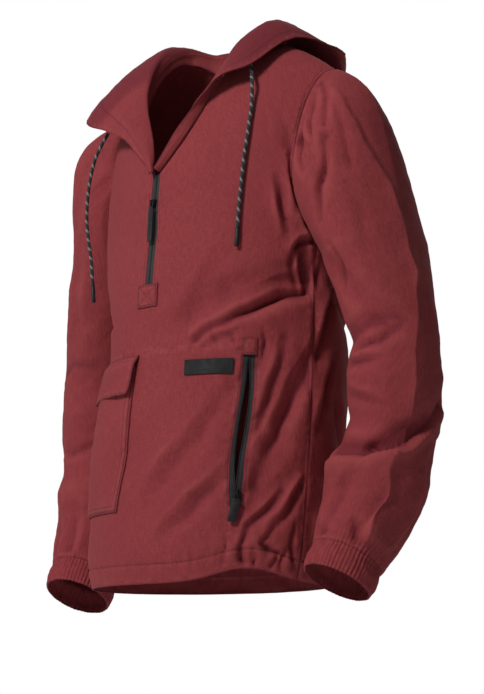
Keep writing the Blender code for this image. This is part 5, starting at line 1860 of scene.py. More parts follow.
# ---------------------------------------------------------------- pieces on the front
@dataclass(frozen=True)
class FrontPieces:
    """The patch, the patch pocket and its flap, the bare label, the welt and the pocket's bag."""

    front: Skin
    finishes: Finishes
    needle: Needle
    wall: float = 0.0012
    lay_gap: float = 0.0009
    cell: float = 0.0026
    degree: float = 0.00285
    label_thickness: float = 0.0014

    def grid(self, top: tuple[float, float], foot: tuple[float, float],
             heights: tuple[float, float]) -> tuple[Array, Array]:
        """A fine grid of angles and heights between a foot and a top.

        Args:
            top: Angles of the two top corners.
            foot: Angles of the two lower corners.
            heights: Heights of the foot and the top.

        Returns:
            Angles and heights.
        """
        wide = max(abs(top[1] - top[0]), abs(foot[1] - foot[0])) * self.degree
        tall = heights[1] - heights[0]
        cols, rows = shares([math.ceil(size / self.cell) + 1 for size in (tall, wide)])
        left = foot[0] * (1 - rows) + top[0] * rows
        right = foot[1] * (1 - rows) + top[1] * rows
        return left * (1 - cols) + right * cols, heights[0] * (1 - rows) + heights[1] * rows + 0 * cols

    def build(self) -> None:
        """Build and dress every piece that lies on the front, and the bag."""
        for make in (self.patch, self.pocket, self.flap, self.label, self.welt, self.bag):
            make()

    def patch(self) -> None:
        """The square at the foot of the zip, sewn with a box and a cross."""
        angle, z = self.grid((-5.9, 5.9), (-5.9, 5.9), (-0.3585, -0.3275))
        skin = self.front.laid(angle, z, self.lay_gap + self.wall + 0.0003, (1,))
        sew("zip_patch", skin, self.finishes.cloth)
        high, wide = skin.points.shape[0] - 1, skin.points.shape[1] - 1
        cross = [run(skin, (1, high - 1), cols) for cols in ((1, wide - 1), (wide - 1, 1))]
        self.needle.sew_rows("zip_patch_stitches", edges(skin, 1) + cross, pitch=0.0026, length=0.0023,
                             width=0.0011)

    def pocket(self) -> None:
        """The patch pocket, which stands off the front like a shallow box."""
        angle, z = self.grid((-53.6, -5.0), (-53.6, -9.0), (-0.634, -0.436))
        across, up = shares(angle.shape)
        edge = np.minimum(smooth(across / 0.035), smooth((1 - across) / 0.035)) * smooth(up / 0.03)
        belly = np.sin(np.pi * across) * np.sin(np.pi * np.clip(up, 0.0, 0.75) / 1.5)
        lift = self.lay_gap + self.wall + edge * (0.0026 + 0.0040 * belly)
        ground = self.front.laid(angle, z, 0.0).points
        crumple = 0.0010 * waves(ground, 61, 0.050, (1, 1, 1.6)) + 0.0003 * waves(ground, 62, 0.018)
        lift = lift + edge * crumple
        skin = self.front.laid(angle, z, lift, (1, 3))
        sew("cargo_pocket", skin, self.finishes.cloth, dip=0.0004)
        sides = "bottom left right"
        self.needle.sew_rows("cargo_pocket_stitches", edges(skin, 1, sides) + edges(skin, 3, sides))

    def flap(self) -> None:
        """The pocket's flap: fixed along its top, standing off at its foot."""
        angle, z = self.grid((-55.0, -3.5), (-55.0, -6.0), (-0.4765, -0.4225))
        across, up = shares(angle.shape)
        stand = np.interp(up, (0.0, 0.27, 0.56, 0.79, 1.0), (0.0092, 0.0088, 0.0080, 0.0066, self.lay_gap))
        ground = self.front.laid(angle, z, 0.0).points
        curl = 0.0016 * smooth((0.25 - up) / 0.25) * np.cos(np.pi * 2 * across + 0.6)
        lift = stand + self.wall + 0.0004 + curl + 0.0007 * waves(ground, 63, 0.040) * (1 - up)
        skin = self.front.laid(angle, z, lift, (1,))
        sew("pocket_flap", skin, self.finishes.cloth, wall=self.wall + 0.0006, dip=0.0004)
        self.needle.sew_rows("pocket_flap_stitches", edges(skin, 1) + edges(skin, 3, "top"))

    def label(self) -> None:
        """The bare tab under the waist seam, with a raised rim and sewn sides."""
        angle, z = self.grid((21.6, 43.4), (21.6, 43.4), (-0.4570, -0.4370))
        across, up = shares(angle.shape)
        rim = np.minimum(np.minimum(across, 1 - across) * 3.2, np.minimum(up, 1 - up))
        lift = self.lay_gap + self.label_thickness + 0.0003 * smooth((0.09 - rim) / 0.03)
        skin = self.front.laid(angle, z, lift)
        sew("waist_label", skin, self.finishes.label, self.label_thickness, 0.0003, ending="tab")
        Needle(self.finishes.dark_thread).sew_rows("waist_label_stitches", edges(skin, 1, "left right"),
                                                   pitch=0.0024)

    def welt(self) -> None:
        """The small stitched box over the head of the pocket zip."""
        angle, z = self.grid((47.0, 53.6), (47.0, 53.6), (-0.4325, -0.4095))
        skin = self.front.laid(angle, z, self.lay_gap + self.wall + 0.0003, (1,))
        sew("pocket_welt", skin, self.finishes.cloth, dip=0.0005)
        self.needle.sew_rows("pocket_welt_stitches", edges(skin, 1), pitch=0.0026, length=0.0021)

    def bag(self) -> None:
        """The bag behind the pocket zip: a shallow tray that opens towards the zip."""
        sides = (40.0, 42.5, POCKET_FRONT_ANGLE, POCKET_SIDE_ANGLE, 60.0, 63.5, 66.0)
        ends = (-0.662, -0.652, *POCKET_ROWS, -0.412, -0.400)
        angle, z = np.meshgrid(dense(sides, 1.2), dense(ends, 0.004))
        rising, falling = (0.0025, 0.010, 0.017), (0.017, 0.010, 0.0025)
        deep = np.minimum.reduce([
            np.interp(angle, sides[:3], rising), np.interp(angle, sides[-3:], falling),
            np.interp(z, ends[:3], rising), np.interp(z, ends[-3:], falling)])
        skin = self.front.laid(angle, z, -deep - self.wall)
        sew("pocket_bag", skin, self.finishes.inside, dip=0.0)


# ---------------------------------------------------------------- small hard parts
def deselect() -> None:
    """Nothing selected and nothing active."""
    for thing in bpy.context.view_layer.objects:
        thing.select_set(False)
    bpy.context.view_layer.objects.active = None


def bevelled(made: bpy.types.Object, width: float, segments: int = 2, upright: bool = False,
             **settings: float) -> None:
    """Bevel an object's edges.

    Args:
        made: The object.
        width: Width of the bevels.
        segments: How many faces each has.
        upright: Bevel only the edges along z.
        settings: More settings of the modifier.
    """
    limit = "ANGLE"
    if upright:
        limit = "WEIGHT"
        weights = made.data.attributes.new("bevel_weight_edge", "FLOAT", "EDGE")
        for edge in made.data.edges:
            a, b = (made.data.vertices[v].co for v in edge.vertices)
            weights.data[edge.index].value = float(abs((a - b).z) > abs((a - b).x) + abs((a - b).y))
    modifier = made.modifiers.new("bevel", "BEVEL")
    for key, value in {"width": width, "segments": segments, "limit_method": limit, **settings}.items():
        setattr(modifier, key, value)
    deselect()
    made.select_set(True)
    bpy.context.view_layer.objects.active = made
    bpy.ops.object.modifier_apply(modifier=modifier.name)
    if upright:
        made.data.attributes.remove(made.data.attributes["bevel_weight_edge"])


def bar(place: Sequence[float], size: Sequence[float], bevel: float = 0.0, segments: int = 2,
        cuts: int = 0) -> bpy.types.Object:
    """A small bar.

    Args:
        place: Its middle.
        size: Its size.
        bevel: Width of its bevels, if it has any.
        segments: How many faces each bevel has.
        cuts: How many cuts there are across each edge.

    Returns:
        The bar.
    """
    deselect()
    bpy.ops.mesh.primitive_cube_add(size=1)
    made = bpy.context.object
    bpy.ops.object.mode_set(mode="EDIT")
    bpy.ops.mesh.select_all(action="SELECT")
    bpy.ops.transform.resize(value=tuple(size))
    bpy.ops.transform.translate(value=tuple(place))
    if cuts:
        bpy.ops.mesh.subdivide(number_cuts=cuts)
    bpy.ops.object.mode_set(mode="OBJECT")
    if bevel:
        bevelled(made, bevel, segments)
    return made


def join(made: bpy.types.Object, part: bpy.types.Object) -> None:
    """Join a part into an object.

    Args:
        made: The object.
        part: The part.
    """
    deselect()
    part.select_set(True)
    made.select_set(True)
    bpy.context.view_layer.objects.active = made
    bpy.ops.object.join()


def settle(made: bpy.types.Object, to_world: Matrix) -> None:
    """Put an object's place into its mesh, and leave the object at the origin.

    Args:
        made: The object.
        to_world: Its place.
    """
    made.data.transform(to_world)
    made.matrix_world = Matrix()
    made.data.set_sharp_from_angle(angle=math.radians(40))
    made.data.update()


# ---------------------------------------------------------------- zips
@dataclass(frozen=True)
class Zip:
    """Two tapes, the coils along their edges, a slider and its pull.

    Attributes:
        name: The zip's name.
        middle: Column angle of its line.
        rows: Heights of its table.
        half_gap: How far each edge stands from its line at those heights.
        edges: Column angles of the tapes' outer edges.
        tapes: Names of the tapes on the wearer's right and left of the line.
        body: The body that the pull rides on.
        half_width: Half width of the pull.
        length: Length of the pull.
        bend: How far the pull's foot is bent aside.
    """

    name: str
    middle: float
    rows: tuple[float, ...]
    half_gap: tuple[float, ...]
    edges: tuple[float, float]
    tapes: tuple[str, str]
    body: Body
    half_width: float
    length: float
    bend: float = 0.0
    tape: float = 0.0008
    under: float = 0.0023
    girth: float = 0.160
    tooth_pitch: float = 0.0013
    lip: float = 0.0012
    slider_width: float = 0.0080
    slider_length: float = 0.0110
    slider_foot: float = -0.0021
    slider_top: float = 0.0034
    tunnel: float = 0.0050
    tunnel_height: float = 0.0030
    bridge: float = 0.0011
    bridge_width: float = 0.0024
    wire: float = 0.0013
    window: float = 0.0020
    neck: float = 0.0085
    rib_pitch: float = 0.0024

    def build(self, front: Skin, finishes: Finishes) -> None:
        """Build and dress the whole zip.

        Args:
            front: The front, which it is sewn behind.
            finishes: The finishes.
        """
        heights = np.array(dense(self.rows, 0.003))
        gap = np.degrees(np.interp(heights, self.rows, self.half_gap) / self.girth)[:, None]
        spots, along, out = [], [], []
        for side, edge, node in zip((-1, 1), self.edges, self.tapes):
            near, lip = self.middle + side * gap, np.linspace(0, 1, 9)[None, :]
            angle = near + (edge - near) * lip
            if side < 0:
                angle, lip = angle[:, ::-1], lip[:, ::-1]
            lift = self.lip * np.interp(lip, (0.0, 0.16, 0.34, 0.7), (0.4, 1.0, 0.8, 0.0)) - self.under
            skin = front.laid(angle, np.broadcast_to(heights[:, None], angle.shape), lift)
            sew(node, skin, finishes.tape, self.tape, 0.0, ending="woven")
            inner = -1 if side < 0 else 0
            line = skin.points[:, inner]
            walked = walk(line)
            at = np.arange(self.tooth_pitch * (0.5 if side < 0 else 1.0), walked[-1], self.tooth_pitch)
            up = unit(read(at, walked, np.gradient(line, axis=0)))
            normal = unit(read(at, walked, skin.normals[:, inner]))
            across = np.cross(normal, up) * side
            spots.append(read(at, walked, line) - across * 0.0001 + normal * 0.0003)
            along.append(across)
            out.append(normal)
        tooth = bar((0.0010, 0, 0), (0.0024, 0.00095, 0.0010), 0.00030, 1)
        coil = scatter(f"{self.name}_coil", tooth, *(np.concatenate(v) for v in (spots, along, out)))
        put(coil, finishes.coil)
        to_world = JOINT_FRAMES[self.body]
        slider = self.slider()
        settle(slider, to_world)
        put(slider, finishes.metal, stands_for=f"{self.name}_slider")
        pull = self.pull()
        settle(pull, to_world @ Matrix.Translation((0, 0, self.slider_top + self.tunnel_height / 2)))
        put(pull, finishes.rubber, self.body, stands_for=f"{self.name}_pull")

    def slider(self) -> bpy.types.Object:
        """The slider's body with its waist and its bridge.

        Returns:
            The slider.
        """
        tall, middle = self.slider_top - self.slider_foot, (self.slider_top + self.slider_foot) / 2
        made = bar((0, 0, middle), (self.slider_width, self.slider_length, tall), cuts=4)
        made.name = f"{self.name}_slider_body"
        for vertex in made.data.vertices:
            x, y, z = vertex.co
            up = y / (self.slider_length / 2)
            vertex.co.x = x * (0.86 + 0.14 * up - 0.22 * max(0, -up - 0.4))
            if abs(x) > self.slider_width * 0.45 and abs(z - middle) / (tall / 2) < 0.5:
                vertex.co.x *= 0.80
        bevelled(made, 0.00045)
        top = self.slider_top + self.tunnel_height
        post = (self.bridge_width, self.bridge, top - self.slider_top)
        for side in (-1, 1):
            place = (0, side * (self.tunnel / 2 + self.bridge / 2), (self.slider_top + top) / 2)
            join(made, bar(place, post, 0.0003))
        roof = (self.bridge_width, self.tunnel + 2 * self.bridge, self.bridge)
        join(made, bar((0, 0, top + self.bridge / 2), roof, 0.0003))
        return made

    def pull(self) -> bpy.types.Object:
        """The pull: a ribbed rubber tab, and the wire loop that holds it to the bridge.

        Returns:
            The pull.
        """
        tab = self.length + self.wire / 2 - self.neck
        made = bar((0, -self.length + tab / 2, 0), (2 * self.half_width, tab, 0.0022))
        made.name = f"{self.name}_pull_tab"
        bevelled(made, self.half_width * 0.42, 4, upright=True)
        bevelled(made, 0.0004, angle_limit=math.radians(50))
        for i in range(max(5, int((tab - 0.016) / self.rib_pitch))):
            for z in (-0.00115, 0.00115):
                place = (0, -self.length + 0.007 + i * self.rib_pitch, z)
                join(made, bar(place, (1.45 * self.half_width, 0.0011, 0.0005), 0.00018))
        wire, window, neck = self.wire, self.window, self.neck
        for x in (-window - wire / 2, window + wire / 2):
            join(made, bar((x, -neck / 2 - 0.0004, 0), (wire, neck + 0.0024, wire), 0.0004))
        join(made, bar((0, 0, 0), (2 * window + 2 * wire, wire, wire), 0.0004))
        join(made, bar((0, -neck - 0.0006, 0), (2 * window + 2 * wire + 0.0006, 0.0034, 0.0027), 0.0005))
        for vertex in made.data.vertices:
            down = max(0.0, -vertex.co.y - neck) / (self.length - neck)
            slim = 1 - 0.16 * math.sin(math.pi * min(down, 1.0))
            vertex.co.x = vertex.co.x * slim - self.bend * down ** 2
        return made


# ---------------------------------------------------------------- drawcords
@dataclass(frozen=True)
class Drawcord:
    """A braided cord that leaves the hood's casing, hangs down the front and ends in a moulded tip.

    Attributes:
        side: The wearer's side.
        place: Place along the hood at which it leaves.
        share_down: Share of the hood's depth there.
        route: Points that it hangs through.
    """

    side: Side
    place: float
    share_down: float
    route: tuple[tuple[float, float, float], ...]
    diameter: float = 0.0048
    tip_diameter: float = 0.0062
    tip_length: float = 0.026
    skin_gap: float = 0.0008
    lies_at: float = 0.0045
    rise: float = 0.005
    count: int = 110
    sides: int = 24

    def path(self, hood: Skin, front: Skin) -> Array:
        """Points along the cord, a few millimetres apart.

        Args:
            hood: The hood's skin, whose labels are its places.
            front: The front, which the cord lies against.

        Returns:
            The points.
        """
        spot = (round(self.share_down * (hood.points.shape[0] - 1)),
                nearest(hood.labels, self.side.value * self.place))
        out = hood.normals[spot]
        start = hood.points[spot] + out * self.skin_gap
        knots = np.array([start, start + out * self.rise, *self.route])
        walked = walk(knots)
        path = through(walked, knots, np.linspace(0, walked[-1], self.count))
        ground, outward = front.points.reshape(-1, 3), front.normals.reshape(-1, 3)
        close = [np.argmin(np.sum((ground - point) ** 2, axis=1)) for point in path]
        off = np.sum((path - ground[close]) * outward[close], axis=1) - self.lies_at
        off = np.convolve(np.pad(np.clip(off, 0, 0.0095), 6, mode="edge"), np.ones(13) / 13, mode="valid")
        off *= smooth(np.linspace(0, 1, self.count) / 0.3)
        return path + off[:, None] * np.array([-math.sqrt(0.5), math.sqrt(0.5), 0.0])

    def tube(self, path: Array) -> bpy.types.Object:
        """The braided tube round a path, with turns and metres as its UVs.

        Args:
            path: Points along the cord.

        Returns:
            The tube.
        """
        along = unit(np.gradient(path, axis=0))
        across = np.zeros_like(path)
        across[0] = unit(np.cross(along[0], np.array([0.3, 1.0, 0.1])))
        for i in range(1, len(path)):
            across[i] = unit(across[i - 1] - np.sum(across[i - 1] * along[i]) * along[i])
        walked = walk(path)
        fine = np.linspace(0, walked[-1], int(walked[-1] / 0.0009))
        path, across, other = (read(fine, walked, grid) for grid in (path, across, np.cross(along, across)))
        turn = np.arange(self.sides) * 2 * math.pi / self.sides
        twist = fine[:, None] / CORD_PITCH * 2 * math.pi
        braid = sum(np.abs(np.sin(CORD_STRANDS / 2 * way)) for way in (turn + twist, turn - twist))
        radius = self.diameter / 2 * (0.955 + 0.035 * braid)
        rings = path[:, None] + radius[..., None] * (np.cos(turn)[None, :, None] * across[:, None]
                                                     + np.sin(turn)[None, :, None] * other[:, None])
        index = np.arange(radius.size).reshape(radius.shape)
        index = np.concatenate([index, index[:, :1]], axis=1)
        first, last = index[0].tolist(), index[-1].tolist()
        caps = [(b, a, radius.size) for a, b in zip(first, first[1:])]
        caps += [(a, b, radius.size + 1) for a, b in zip(last, last[1:])]
        table = np.stack(np.meshgrid(np.arange(self.sides + 1) / self.sides, fine), axis=-1)
        uv = np.concatenate([cells(table).ravel(), np.zeros(len(caps) * 6)])
        return make_mesh(f"drawcord_{self.side}_braid", np.concatenate([rings.reshape(-1, 3), path[[0, -1]]]),
                         cells(index).reshape(-1, 4).tolist() + caps, uv)

    def tip(self, end: Array, along: Array) -> bpy.types.Object:
        """The moulded tip: a round body with two grooves and a domed end.

        Args:
            end: The cord's end.
            along: The cord's way there.

        Returns:
            The tip.
        """
        deselect()
        bpy.ops.mesh.primitive_cylinder_add(vertices=28, radius=self.tip_diameter / 2, depth=self.tip_length)
        made = bpy.context.object
        made.name = f"cord_tip_{self.side}_moulded"
        bpy.ops.object.mode_set(mode="EDIT")
        for part in (0.36, 0.40, 0.42, 0.45, -0.40, -0.46):
            bpy.ops.mesh.select_all(action="SELECT")
            bpy.ops.mesh.bisect(plane_co=(0, 0, part * self.tip_length), plane_no=(0, 0, 1))
        bpy.ops.object.mode_set(mode="OBJECT")
        for vertex in made.data.vertices:
            scale = float(np.interp(vertex.co.z / self.tip_length,
                                    (-0.5, -0.46, -0.40, 0.30, 0.36, 0.40, 0.42, 0.45, 0.5),
                                    (0.62, 0.86, 0.95, 1.0, 1.0, 0.86, 0.86, 0.98, 0.86)))
            vertex.co.x *= scale
            vertex.co.y *= scale
        bevelled(made, 0.0004)
        turn = Vector((0, 0, -1)).rotation_difference(Vector(along)).to_matrix().to_4x4()
        settle(made, Matrix.Translation(Vector(end + along * (0.0003 + self.tip_length / 2))) @ turn)
        return made

    def build(self, hood: Skin, front: Skin, finishes: Finishes) -> None:
        """Args:
            hood: The hood, whose casing it leaves.
            front: The front, which it lies against.
            finishes: The finishes.
        """
        path = self.path(hood, front)
        cord = put(self.tube(path), finishes.cord, stands_for=f"drawcord_{self.side}")
        tip = put(self.tip(path[-1], unit(path[-1] - path[-2])), finishes.rubber,
                  stands_for=f"cord_tip_{self.side}")


# ---------------------------------------------------------------- studio
def aimed(name: str, data: bpy.types.ID, place: Vector, way: Vector) -> bpy.types.Object:
    """A camera or lamp in the scene.

    Args:
        name: Its name.
        data: Its settings.
        place: Its place.
        way: The way it faces.

    Returns:
        The object.
    """
    made = bpy.data.objects.new(name, data)
    made.location = place
    made.rotation_mode = "QUATERNION"
    made.rotation_quaternion = way.to_track_quat("-Z", "Y")
    bpy.context.scene.collection.objects.link(made)
    return made


@dataclass(frozen=True)
class Studio:
    """Camera, floor and lights."""

    azimuth: float = 45.229
    pitch: float = 8.763
    distance: float = 3.26329
    aside: float = 0.03851
    height: float = -0.90
    lens: float = 124.05
    floor_z: float = -1.45
    aim: tuple[float, float, float] = (0.0, 0.0, -0.35)

    def build(self) -> None:
        """Build all of it."""
        self.camera()
        self.floor()
        self.lights()

    def camera(self) -> None:
        """The camera, with no shift."""
        data = bpy.data.cameras.new("camera")
        data.lens = self.lens
        data.sensor_width = 36.0
        away, right = (Vector((math.sqrt(0.5), y, 0.0)) for y in (-math.sqrt(0.5), math.sqrt(0.5)))
        place = away * self.distance + right * self.aside + Vector((0, 0, self.height))
        turn, rise = math.radians(self.azimuth), math.radians(self.pitch)
        ahead = Vector((-math.sin(turn) * math.cos(rise), math.cos(turn) * math.cos(rise), math.sin(rise)))
        bpy.context.scene.camera = aimed("camera", data, place, ahead)

    def floor(self) -> None:
        """A plain pale floor, well below the hem."""
        deselect()
        bpy.ops.mesh.primitive_plane_add(size=160, location=(0, 0, self.floor_z))
        made = bpy.context.object
        made.name = "floor"
        made.data.materials.append(Net("pale_floor").set(Base_Color=(0.86, 0.86, 0.87, 1.0), Roughness=0.75))

    def lights(self) -> None:
        """A large soft key on the camera's left, a weak fill, a rim and a pale surround."""
        for name, place, size, power in (
                ("key", (0.30, -3.0, 1.7), 0.9, 92), ("fill", (-3.0, -1.6, 0.2), 2.0, 10),
                ("back", (-1.6, 2.6, 1.6), 2.0, 34)):
            data = bpy.data.lights.new(name, "AREA")
            data.shape = "SQUARE"
            data.size = size
            data.energy = power
            aimed(name, data, Vector(place), Vector(self.aim) - Vector(place))
        world = bpy.data.worlds.new("surround")
        bpy.context.scene.world = world
        world.use_nodes = True
        tree = world.node_tree
        shade = tree.nodes["Background"]
        seen = tree.nodes.new("ShaderNodeLightPath")
        strength = tree.nodes.new("ShaderNodeMapRange")
        tree.links.new(seen.outputs["Is Camera Ray"], strength.inputs[0])
        strength.inputs[3].default_value = 0.13
        strength.inputs[4].default_value = 1.0
        tree.links.new(strength.outputs[0], shade.inputs["Strength"])
        shade.inputs["Color"].default_value = (1.0, 1.0, 1.0, 1.0)
        bpy.context.scene.view_settings.view_transform = "Standard"


# ---------------------------------------------------------------- creases, zips and cords
LAPEL_LINE_PLACES = (5.0, 4.17, 3.5, 3.0, 2.2, 1.5, 0.6)
LAPEL_LINE_ROWS = (37.0, 36.0, 34.5, 32.0, 27.0, 22.0, 15.0)
RIGHT, LEFT = Lean.RIGHT, Lean.LEFT
# Half width, depth, form, and the turns and heights that each crease goes through.
BODY_CREASES = (
    (0.0056, 0.0120, LEFT, (84, -0.322), (82.8, -0.333), (78, -0.343), (66, -0.347), (58.8, -0.355),
     (51.6, -0.366), (43.8, -0.375), (34, -0.388), (25, -0.406)),
    (0.0135, 0.0120, LEFT, (84, -0.312), (76, -0.327), (66, -0.335), (56, -0.347), (47, -0.359)),
    (0.0050, 0.0095, RIGHT, (69, -0.302), (70, -0.288), (73, -0.279), (78, -0.275), (84, -0.276)),
    (0.0105, 0.0120, 0.25, (75, -0.284), (77, -0.305), (80, -0.332)),
    (0.0045, 0.0055, RIGHT, (69, -0.294), (72, -0.318), (76, -0.340)),
    (0.0125, 0.0125, LEFT, (82, -0.425), (74, -0.464), (68, -0.498), (64, -0.535), (59, -0.565),
     (55.5, -0.602)),
    (0.0080, 0.0080, LEFT, (67, -0.410), (64, -0.450), (58, -0.498), (55.5, -0.530)),
    (0.0056, 0.0070, LEFT, (71, -0.612), (62.4, -0.642), (56.5, -0.658), (54, -0.674)),
    (0.0060, 0.0095, LEFT, (82, -0.595), (75, -0.629), (69.8, -0.648), (66, -0.668)),
    (0.0042, 0.0095, 0.6, (57, -0.660), (53.6, -0.684), (55.0, -0.700), (59, -0.716)),
    (0.0038, 0.0085, 0.6, (68.5, -0.662), (62.8, -0.681), (67, -0.690), (71.5, -0.694), (68.5, -0.715)),
    (0.0030, 0.0050, 0.6, (61.5, -0.700), (60.5, -0.716)),
    (0.0030, 0.0050, 0.6, (76, -0.690), (73.0, -0.706), (74, -0.718)),
    (0.0034, 0.0036, 0.5, (48, -0.678), (47, -0.692), (47.6, -0.710)),
    (0.0040, 0.0065, 0.5, (78.5, -0.655), (79, -0.684), (80.5, -0.712)),
    (0.0030, 0.0034, 0.5, (33, -0.402), (35, -0.418)),
    (0.0030, 0.0034, 0.5, (41, -0.404), (43.5, -0.418)),
    (0.0036, 0.0042, 0.5, (56, -0.398), (58, -0.416), (56, -0.436)),
    (0.0100, 0.0120, LEFT, (106, -0.316), (97, -0.350), (91, -0.385), (85.5, -0.425)),
    (0.0080, 0.0080, LEFT, (100, -0.420), (94, -0.470), (88, -0.520)),
    (0.0060, 0.0075, LEFT, (99, -0.600), (93, -0.650), (95, -0.705)),
    (0.013, 0.0075, LEFT, (26, -0.536), (6.9, -0.617)),
    (0.010, 0.0075, LEFT, (45.1, -0.585), (32, -0.618), (18, -0.660)),
    (0.012, 0.0052, LEFT, (41, -0.470), (29, -0.528), (22, -0.585)),
    (0.0055, 0.0095, LEFT, (66, -0.185), (71, -0.222), (76, -0.254), (82, -0.280)),
    (0.0055, 0.0085, LEFT, (59, -0.195), (61, -0.230), (65, -0.268)),
    (0.0055, 0.0085, LEFT, (65, -0.160), (67, -0.200), (70, -0.240)),
    (0.009, 0.0036, 0.2, (58, -0.110), (66, -0.165), (70, -0.200)),
    (0.013, 0.0034, LEFT, (36, -0.290), (24, -0.345), (15, -0.400)),
    (0.0055, 0.0046, LEFT, (44, -0.396), (36, -0.405), (30, -0.416)),
    (0.0085, 0.0085, RIGHT, (-83, -0.330), (-66, -0.345), (-48, -0.352), (-34, -0.372)),
    (0.0085, 0.0070, RIGHT, (-76, -0.500), (-62, -0.560), (-56, -0.600)),
    (0.0085, 0.0065, RIGHT, (-80, -0.625), (-66, -0.655), (-56, -0.690)),
    (0.0085, 0.0050, RIGHT, (-70, -0.165), (-76, -0.240), (-80, -0.285)),
    (0.009, 0.0100, RIGHT, (98, -0.330), (114, -0.345), (132, -0.372), (146, -0.412)),
    (0.009, 0.0095, LEFT, (-98, -0.335), (-112, -0.352), (-130, -0.384), (-150, -0.420)),
    (0.009, 0.0090, RIGHT, (104, -0.480), (122, -0.540), (140, -0.604)),
    (0.009, 0.0090, LEFT, (-102, -0.470), (-120, -0.520), (-138, -0.590)),
    (0.013, 0.0050, RIGHT, (150, -0.500), (165, -0.540), (180, -0.570)),
    (0.009, 0.0065, RIGHT, (112, -0.640), (138, -0.668), (160, -0.690)),
    (0.009, 0.0065, LEFT, (-108, -0.630), (-130, -0.662), (-150, -0.690)),
    (0.012, 0.0050, RIGHT, (130, -0.440), (152, -0.470), (172, -0.480)),
    (0.014, 0.0045, LEFT, (-140, -0.300), (-160, -0.330), (-176, -0.340)),
)
LEFT_SLEEVE_CREASES = (
    (0.020, -0.0095, 1.0, (24, -0.090), (23, -0.124), (22, -0.150), (18.3, -0.168), (12, -0.205),
     (7.6, -0.249), (5.0, -0.270), (8.2, -0.308), (8, -0.332), (11.8, -0.370), (17.4, -0.402),
     (22, -0.440), (24, -0.477), (25, -0.523), (24, -0.545)),
    (0.0075, 0.0135, RIGHT, (125, -0.570), (109.8, -0.566), (64.2, -0.572), (42.7, -0.566), (20.1, -0.558),
     (-7.5, -0.534), (-36, -0.508)),
    (0.019, -0.0125, 1.0, (32, -0.574), (31, -0.620), (26, -0.661), (21, -0.705)),
    (0.008, 0.0034, LEFT, (112, -0.660), (84, -0.672), (50, -0.680)),
    (0.0065, 0.0060, LEFT, (46, -0.655), (30, -0.680), (10, -0.694), (-6, -0.700)),
    (0.0060, 0.0060, LEFT, (104.5, -0.424), (65.7, -0.417), (40, -0.405)),
    (0.0060, 0.0050, LEFT, (130, -0.440), (96, -0.446), (66, -0.442)),
    (0.008, 0.0040, LEFT, (124, -0.480), (92, -0.490), (60, -0.506)),
    (0.0042, 0.0095, 0.7, (22, -0.050), (34.3, -0.090), (46, -0.128)),
    (0.0046, 0.0105, 0.6, (40, -0.080), (57.8, -0.114), (70.5, -0.159)),
    (0.0050, 0.0115, 0.6, (67, -0.112), (90.5, -0.147), (95.5, -0.190)),
    (0.0056, 0.0110, 0.5, (50, -0.148), (64.9, -0.185), (82.3, -0.224), (95.5, -0.262)),
    (0.0064, 0.0048, 0.5, (19.5, -0.088), (19.5, -0.123), (16.4, -0.151), (11.5, -0.179), (8, -0.205)),
    (0.0050, 0.0040, 0.5, (30.3, -0.100), (34.3, -0.145), (38.6, -0.192)),
    (0.0085, 0.0040, 0.3, (48, -0.215), (44.6, -0.254), (49.4, -0.300)),
    (0.0070, 0.0064, 0.4, (94.7, -0.295), (92.6, -0.317), (105.4, -0.352)),
    (0.009, 0.0070, RIGHT, (-20, -0.575), (-30, -0.630), (-26, -0.690)),
    (0.009, 0.0075, LEFT, (-60, -0.420), (-100, -0.404), (-150, -0.400)),
    (0.009, 0.0100, LEFT, (-50, -0.545), (-96, -0.560), (-150, -0.550)),
    (0.009, 0.0060, RIGHT, (-70, -0.610), (-90, -0.660), (-84, -0.695)),
    (0.010, 0.0060, LEFT, (-60, -0.110), (-84, -0.160), (-96, -0.220)),
)
RIGHT_SLEEVE_CREASES = (
    (0.024, -0.0065, 1.0, (30, -0.300), (26, -0.370), (36, -0.430), (30, -0.500)),
    (0.0042, 0.0060, 0.7, (-47, -0.345), (-10, -0.347), (20, -0.352), (44, -0.361)),
    (0.0040, 0.0034, 0.6, (-26, -0.423), (10, -0.421), (38, -0.420)),
    (0.0046, 0.0038, 0.6, (-36, -0.489), (-6.7, -0.501), (12, -0.503)),
    (0.0056, 0.0034, 0.4, (-42, -0.588), (-2, -0.598), (20, -0.596)),
    (0.0060, 0.0085, LEFT, (32, -0.610), (8, -0.634), (-12, -0.659)),
    (0.0050, 0.0085, LEFT, (40, -0.662), (5, -0.679), (-40, -0.691)),
    (0.0042, 0.0048, 0.5, (24, -0.640), (37, -0.692)),
    (0.0065, 0.0034, RIGHT, (126, -0.404), (84, -0.398), (50, -0.410)),
    (0.0065, 0.0034, RIGHT, (130, -0.520), (92, -0.530), (56, -0.524)),
    (0.009, 0.0055, RIGHT, (60, -0.600), (76, -0.646), (70, -0.692)),
    (0.009, 0.0050, RIGHT, (104, -0.600), (112, -0.650), (108, -0.692)),
    (0.011, 0.0046, RIGHT, (96, -0.230), (90, -0.290), (100, -0.350)),
    (0.009, 0.0044, RIGHT, (50, -0.090), (72, -0.140), (84, -0.200)),
    (0.009, 0.0060, RIGHT, (-60, -0.410), (-110, -0.400), (-150, -0.420)),
    (0.009, 0.0070, RIGHT, (-40, -0.560), (-90, -0.574), (-140, -0.560)),
    (0.010, 0.0048, RIGHT, (-60, -0.110), (-84, -0.160), (-96, -0.220)),
)
SLEEVES = (Sleeve(Side.LEFT, LEFT_SLEEVE_CREASES, 30, 1.0, 1.0),
           Sleeve(Side.RIGHT, RIGHT_SLEEVE_CREASES, 40, 0.3, 0.7))


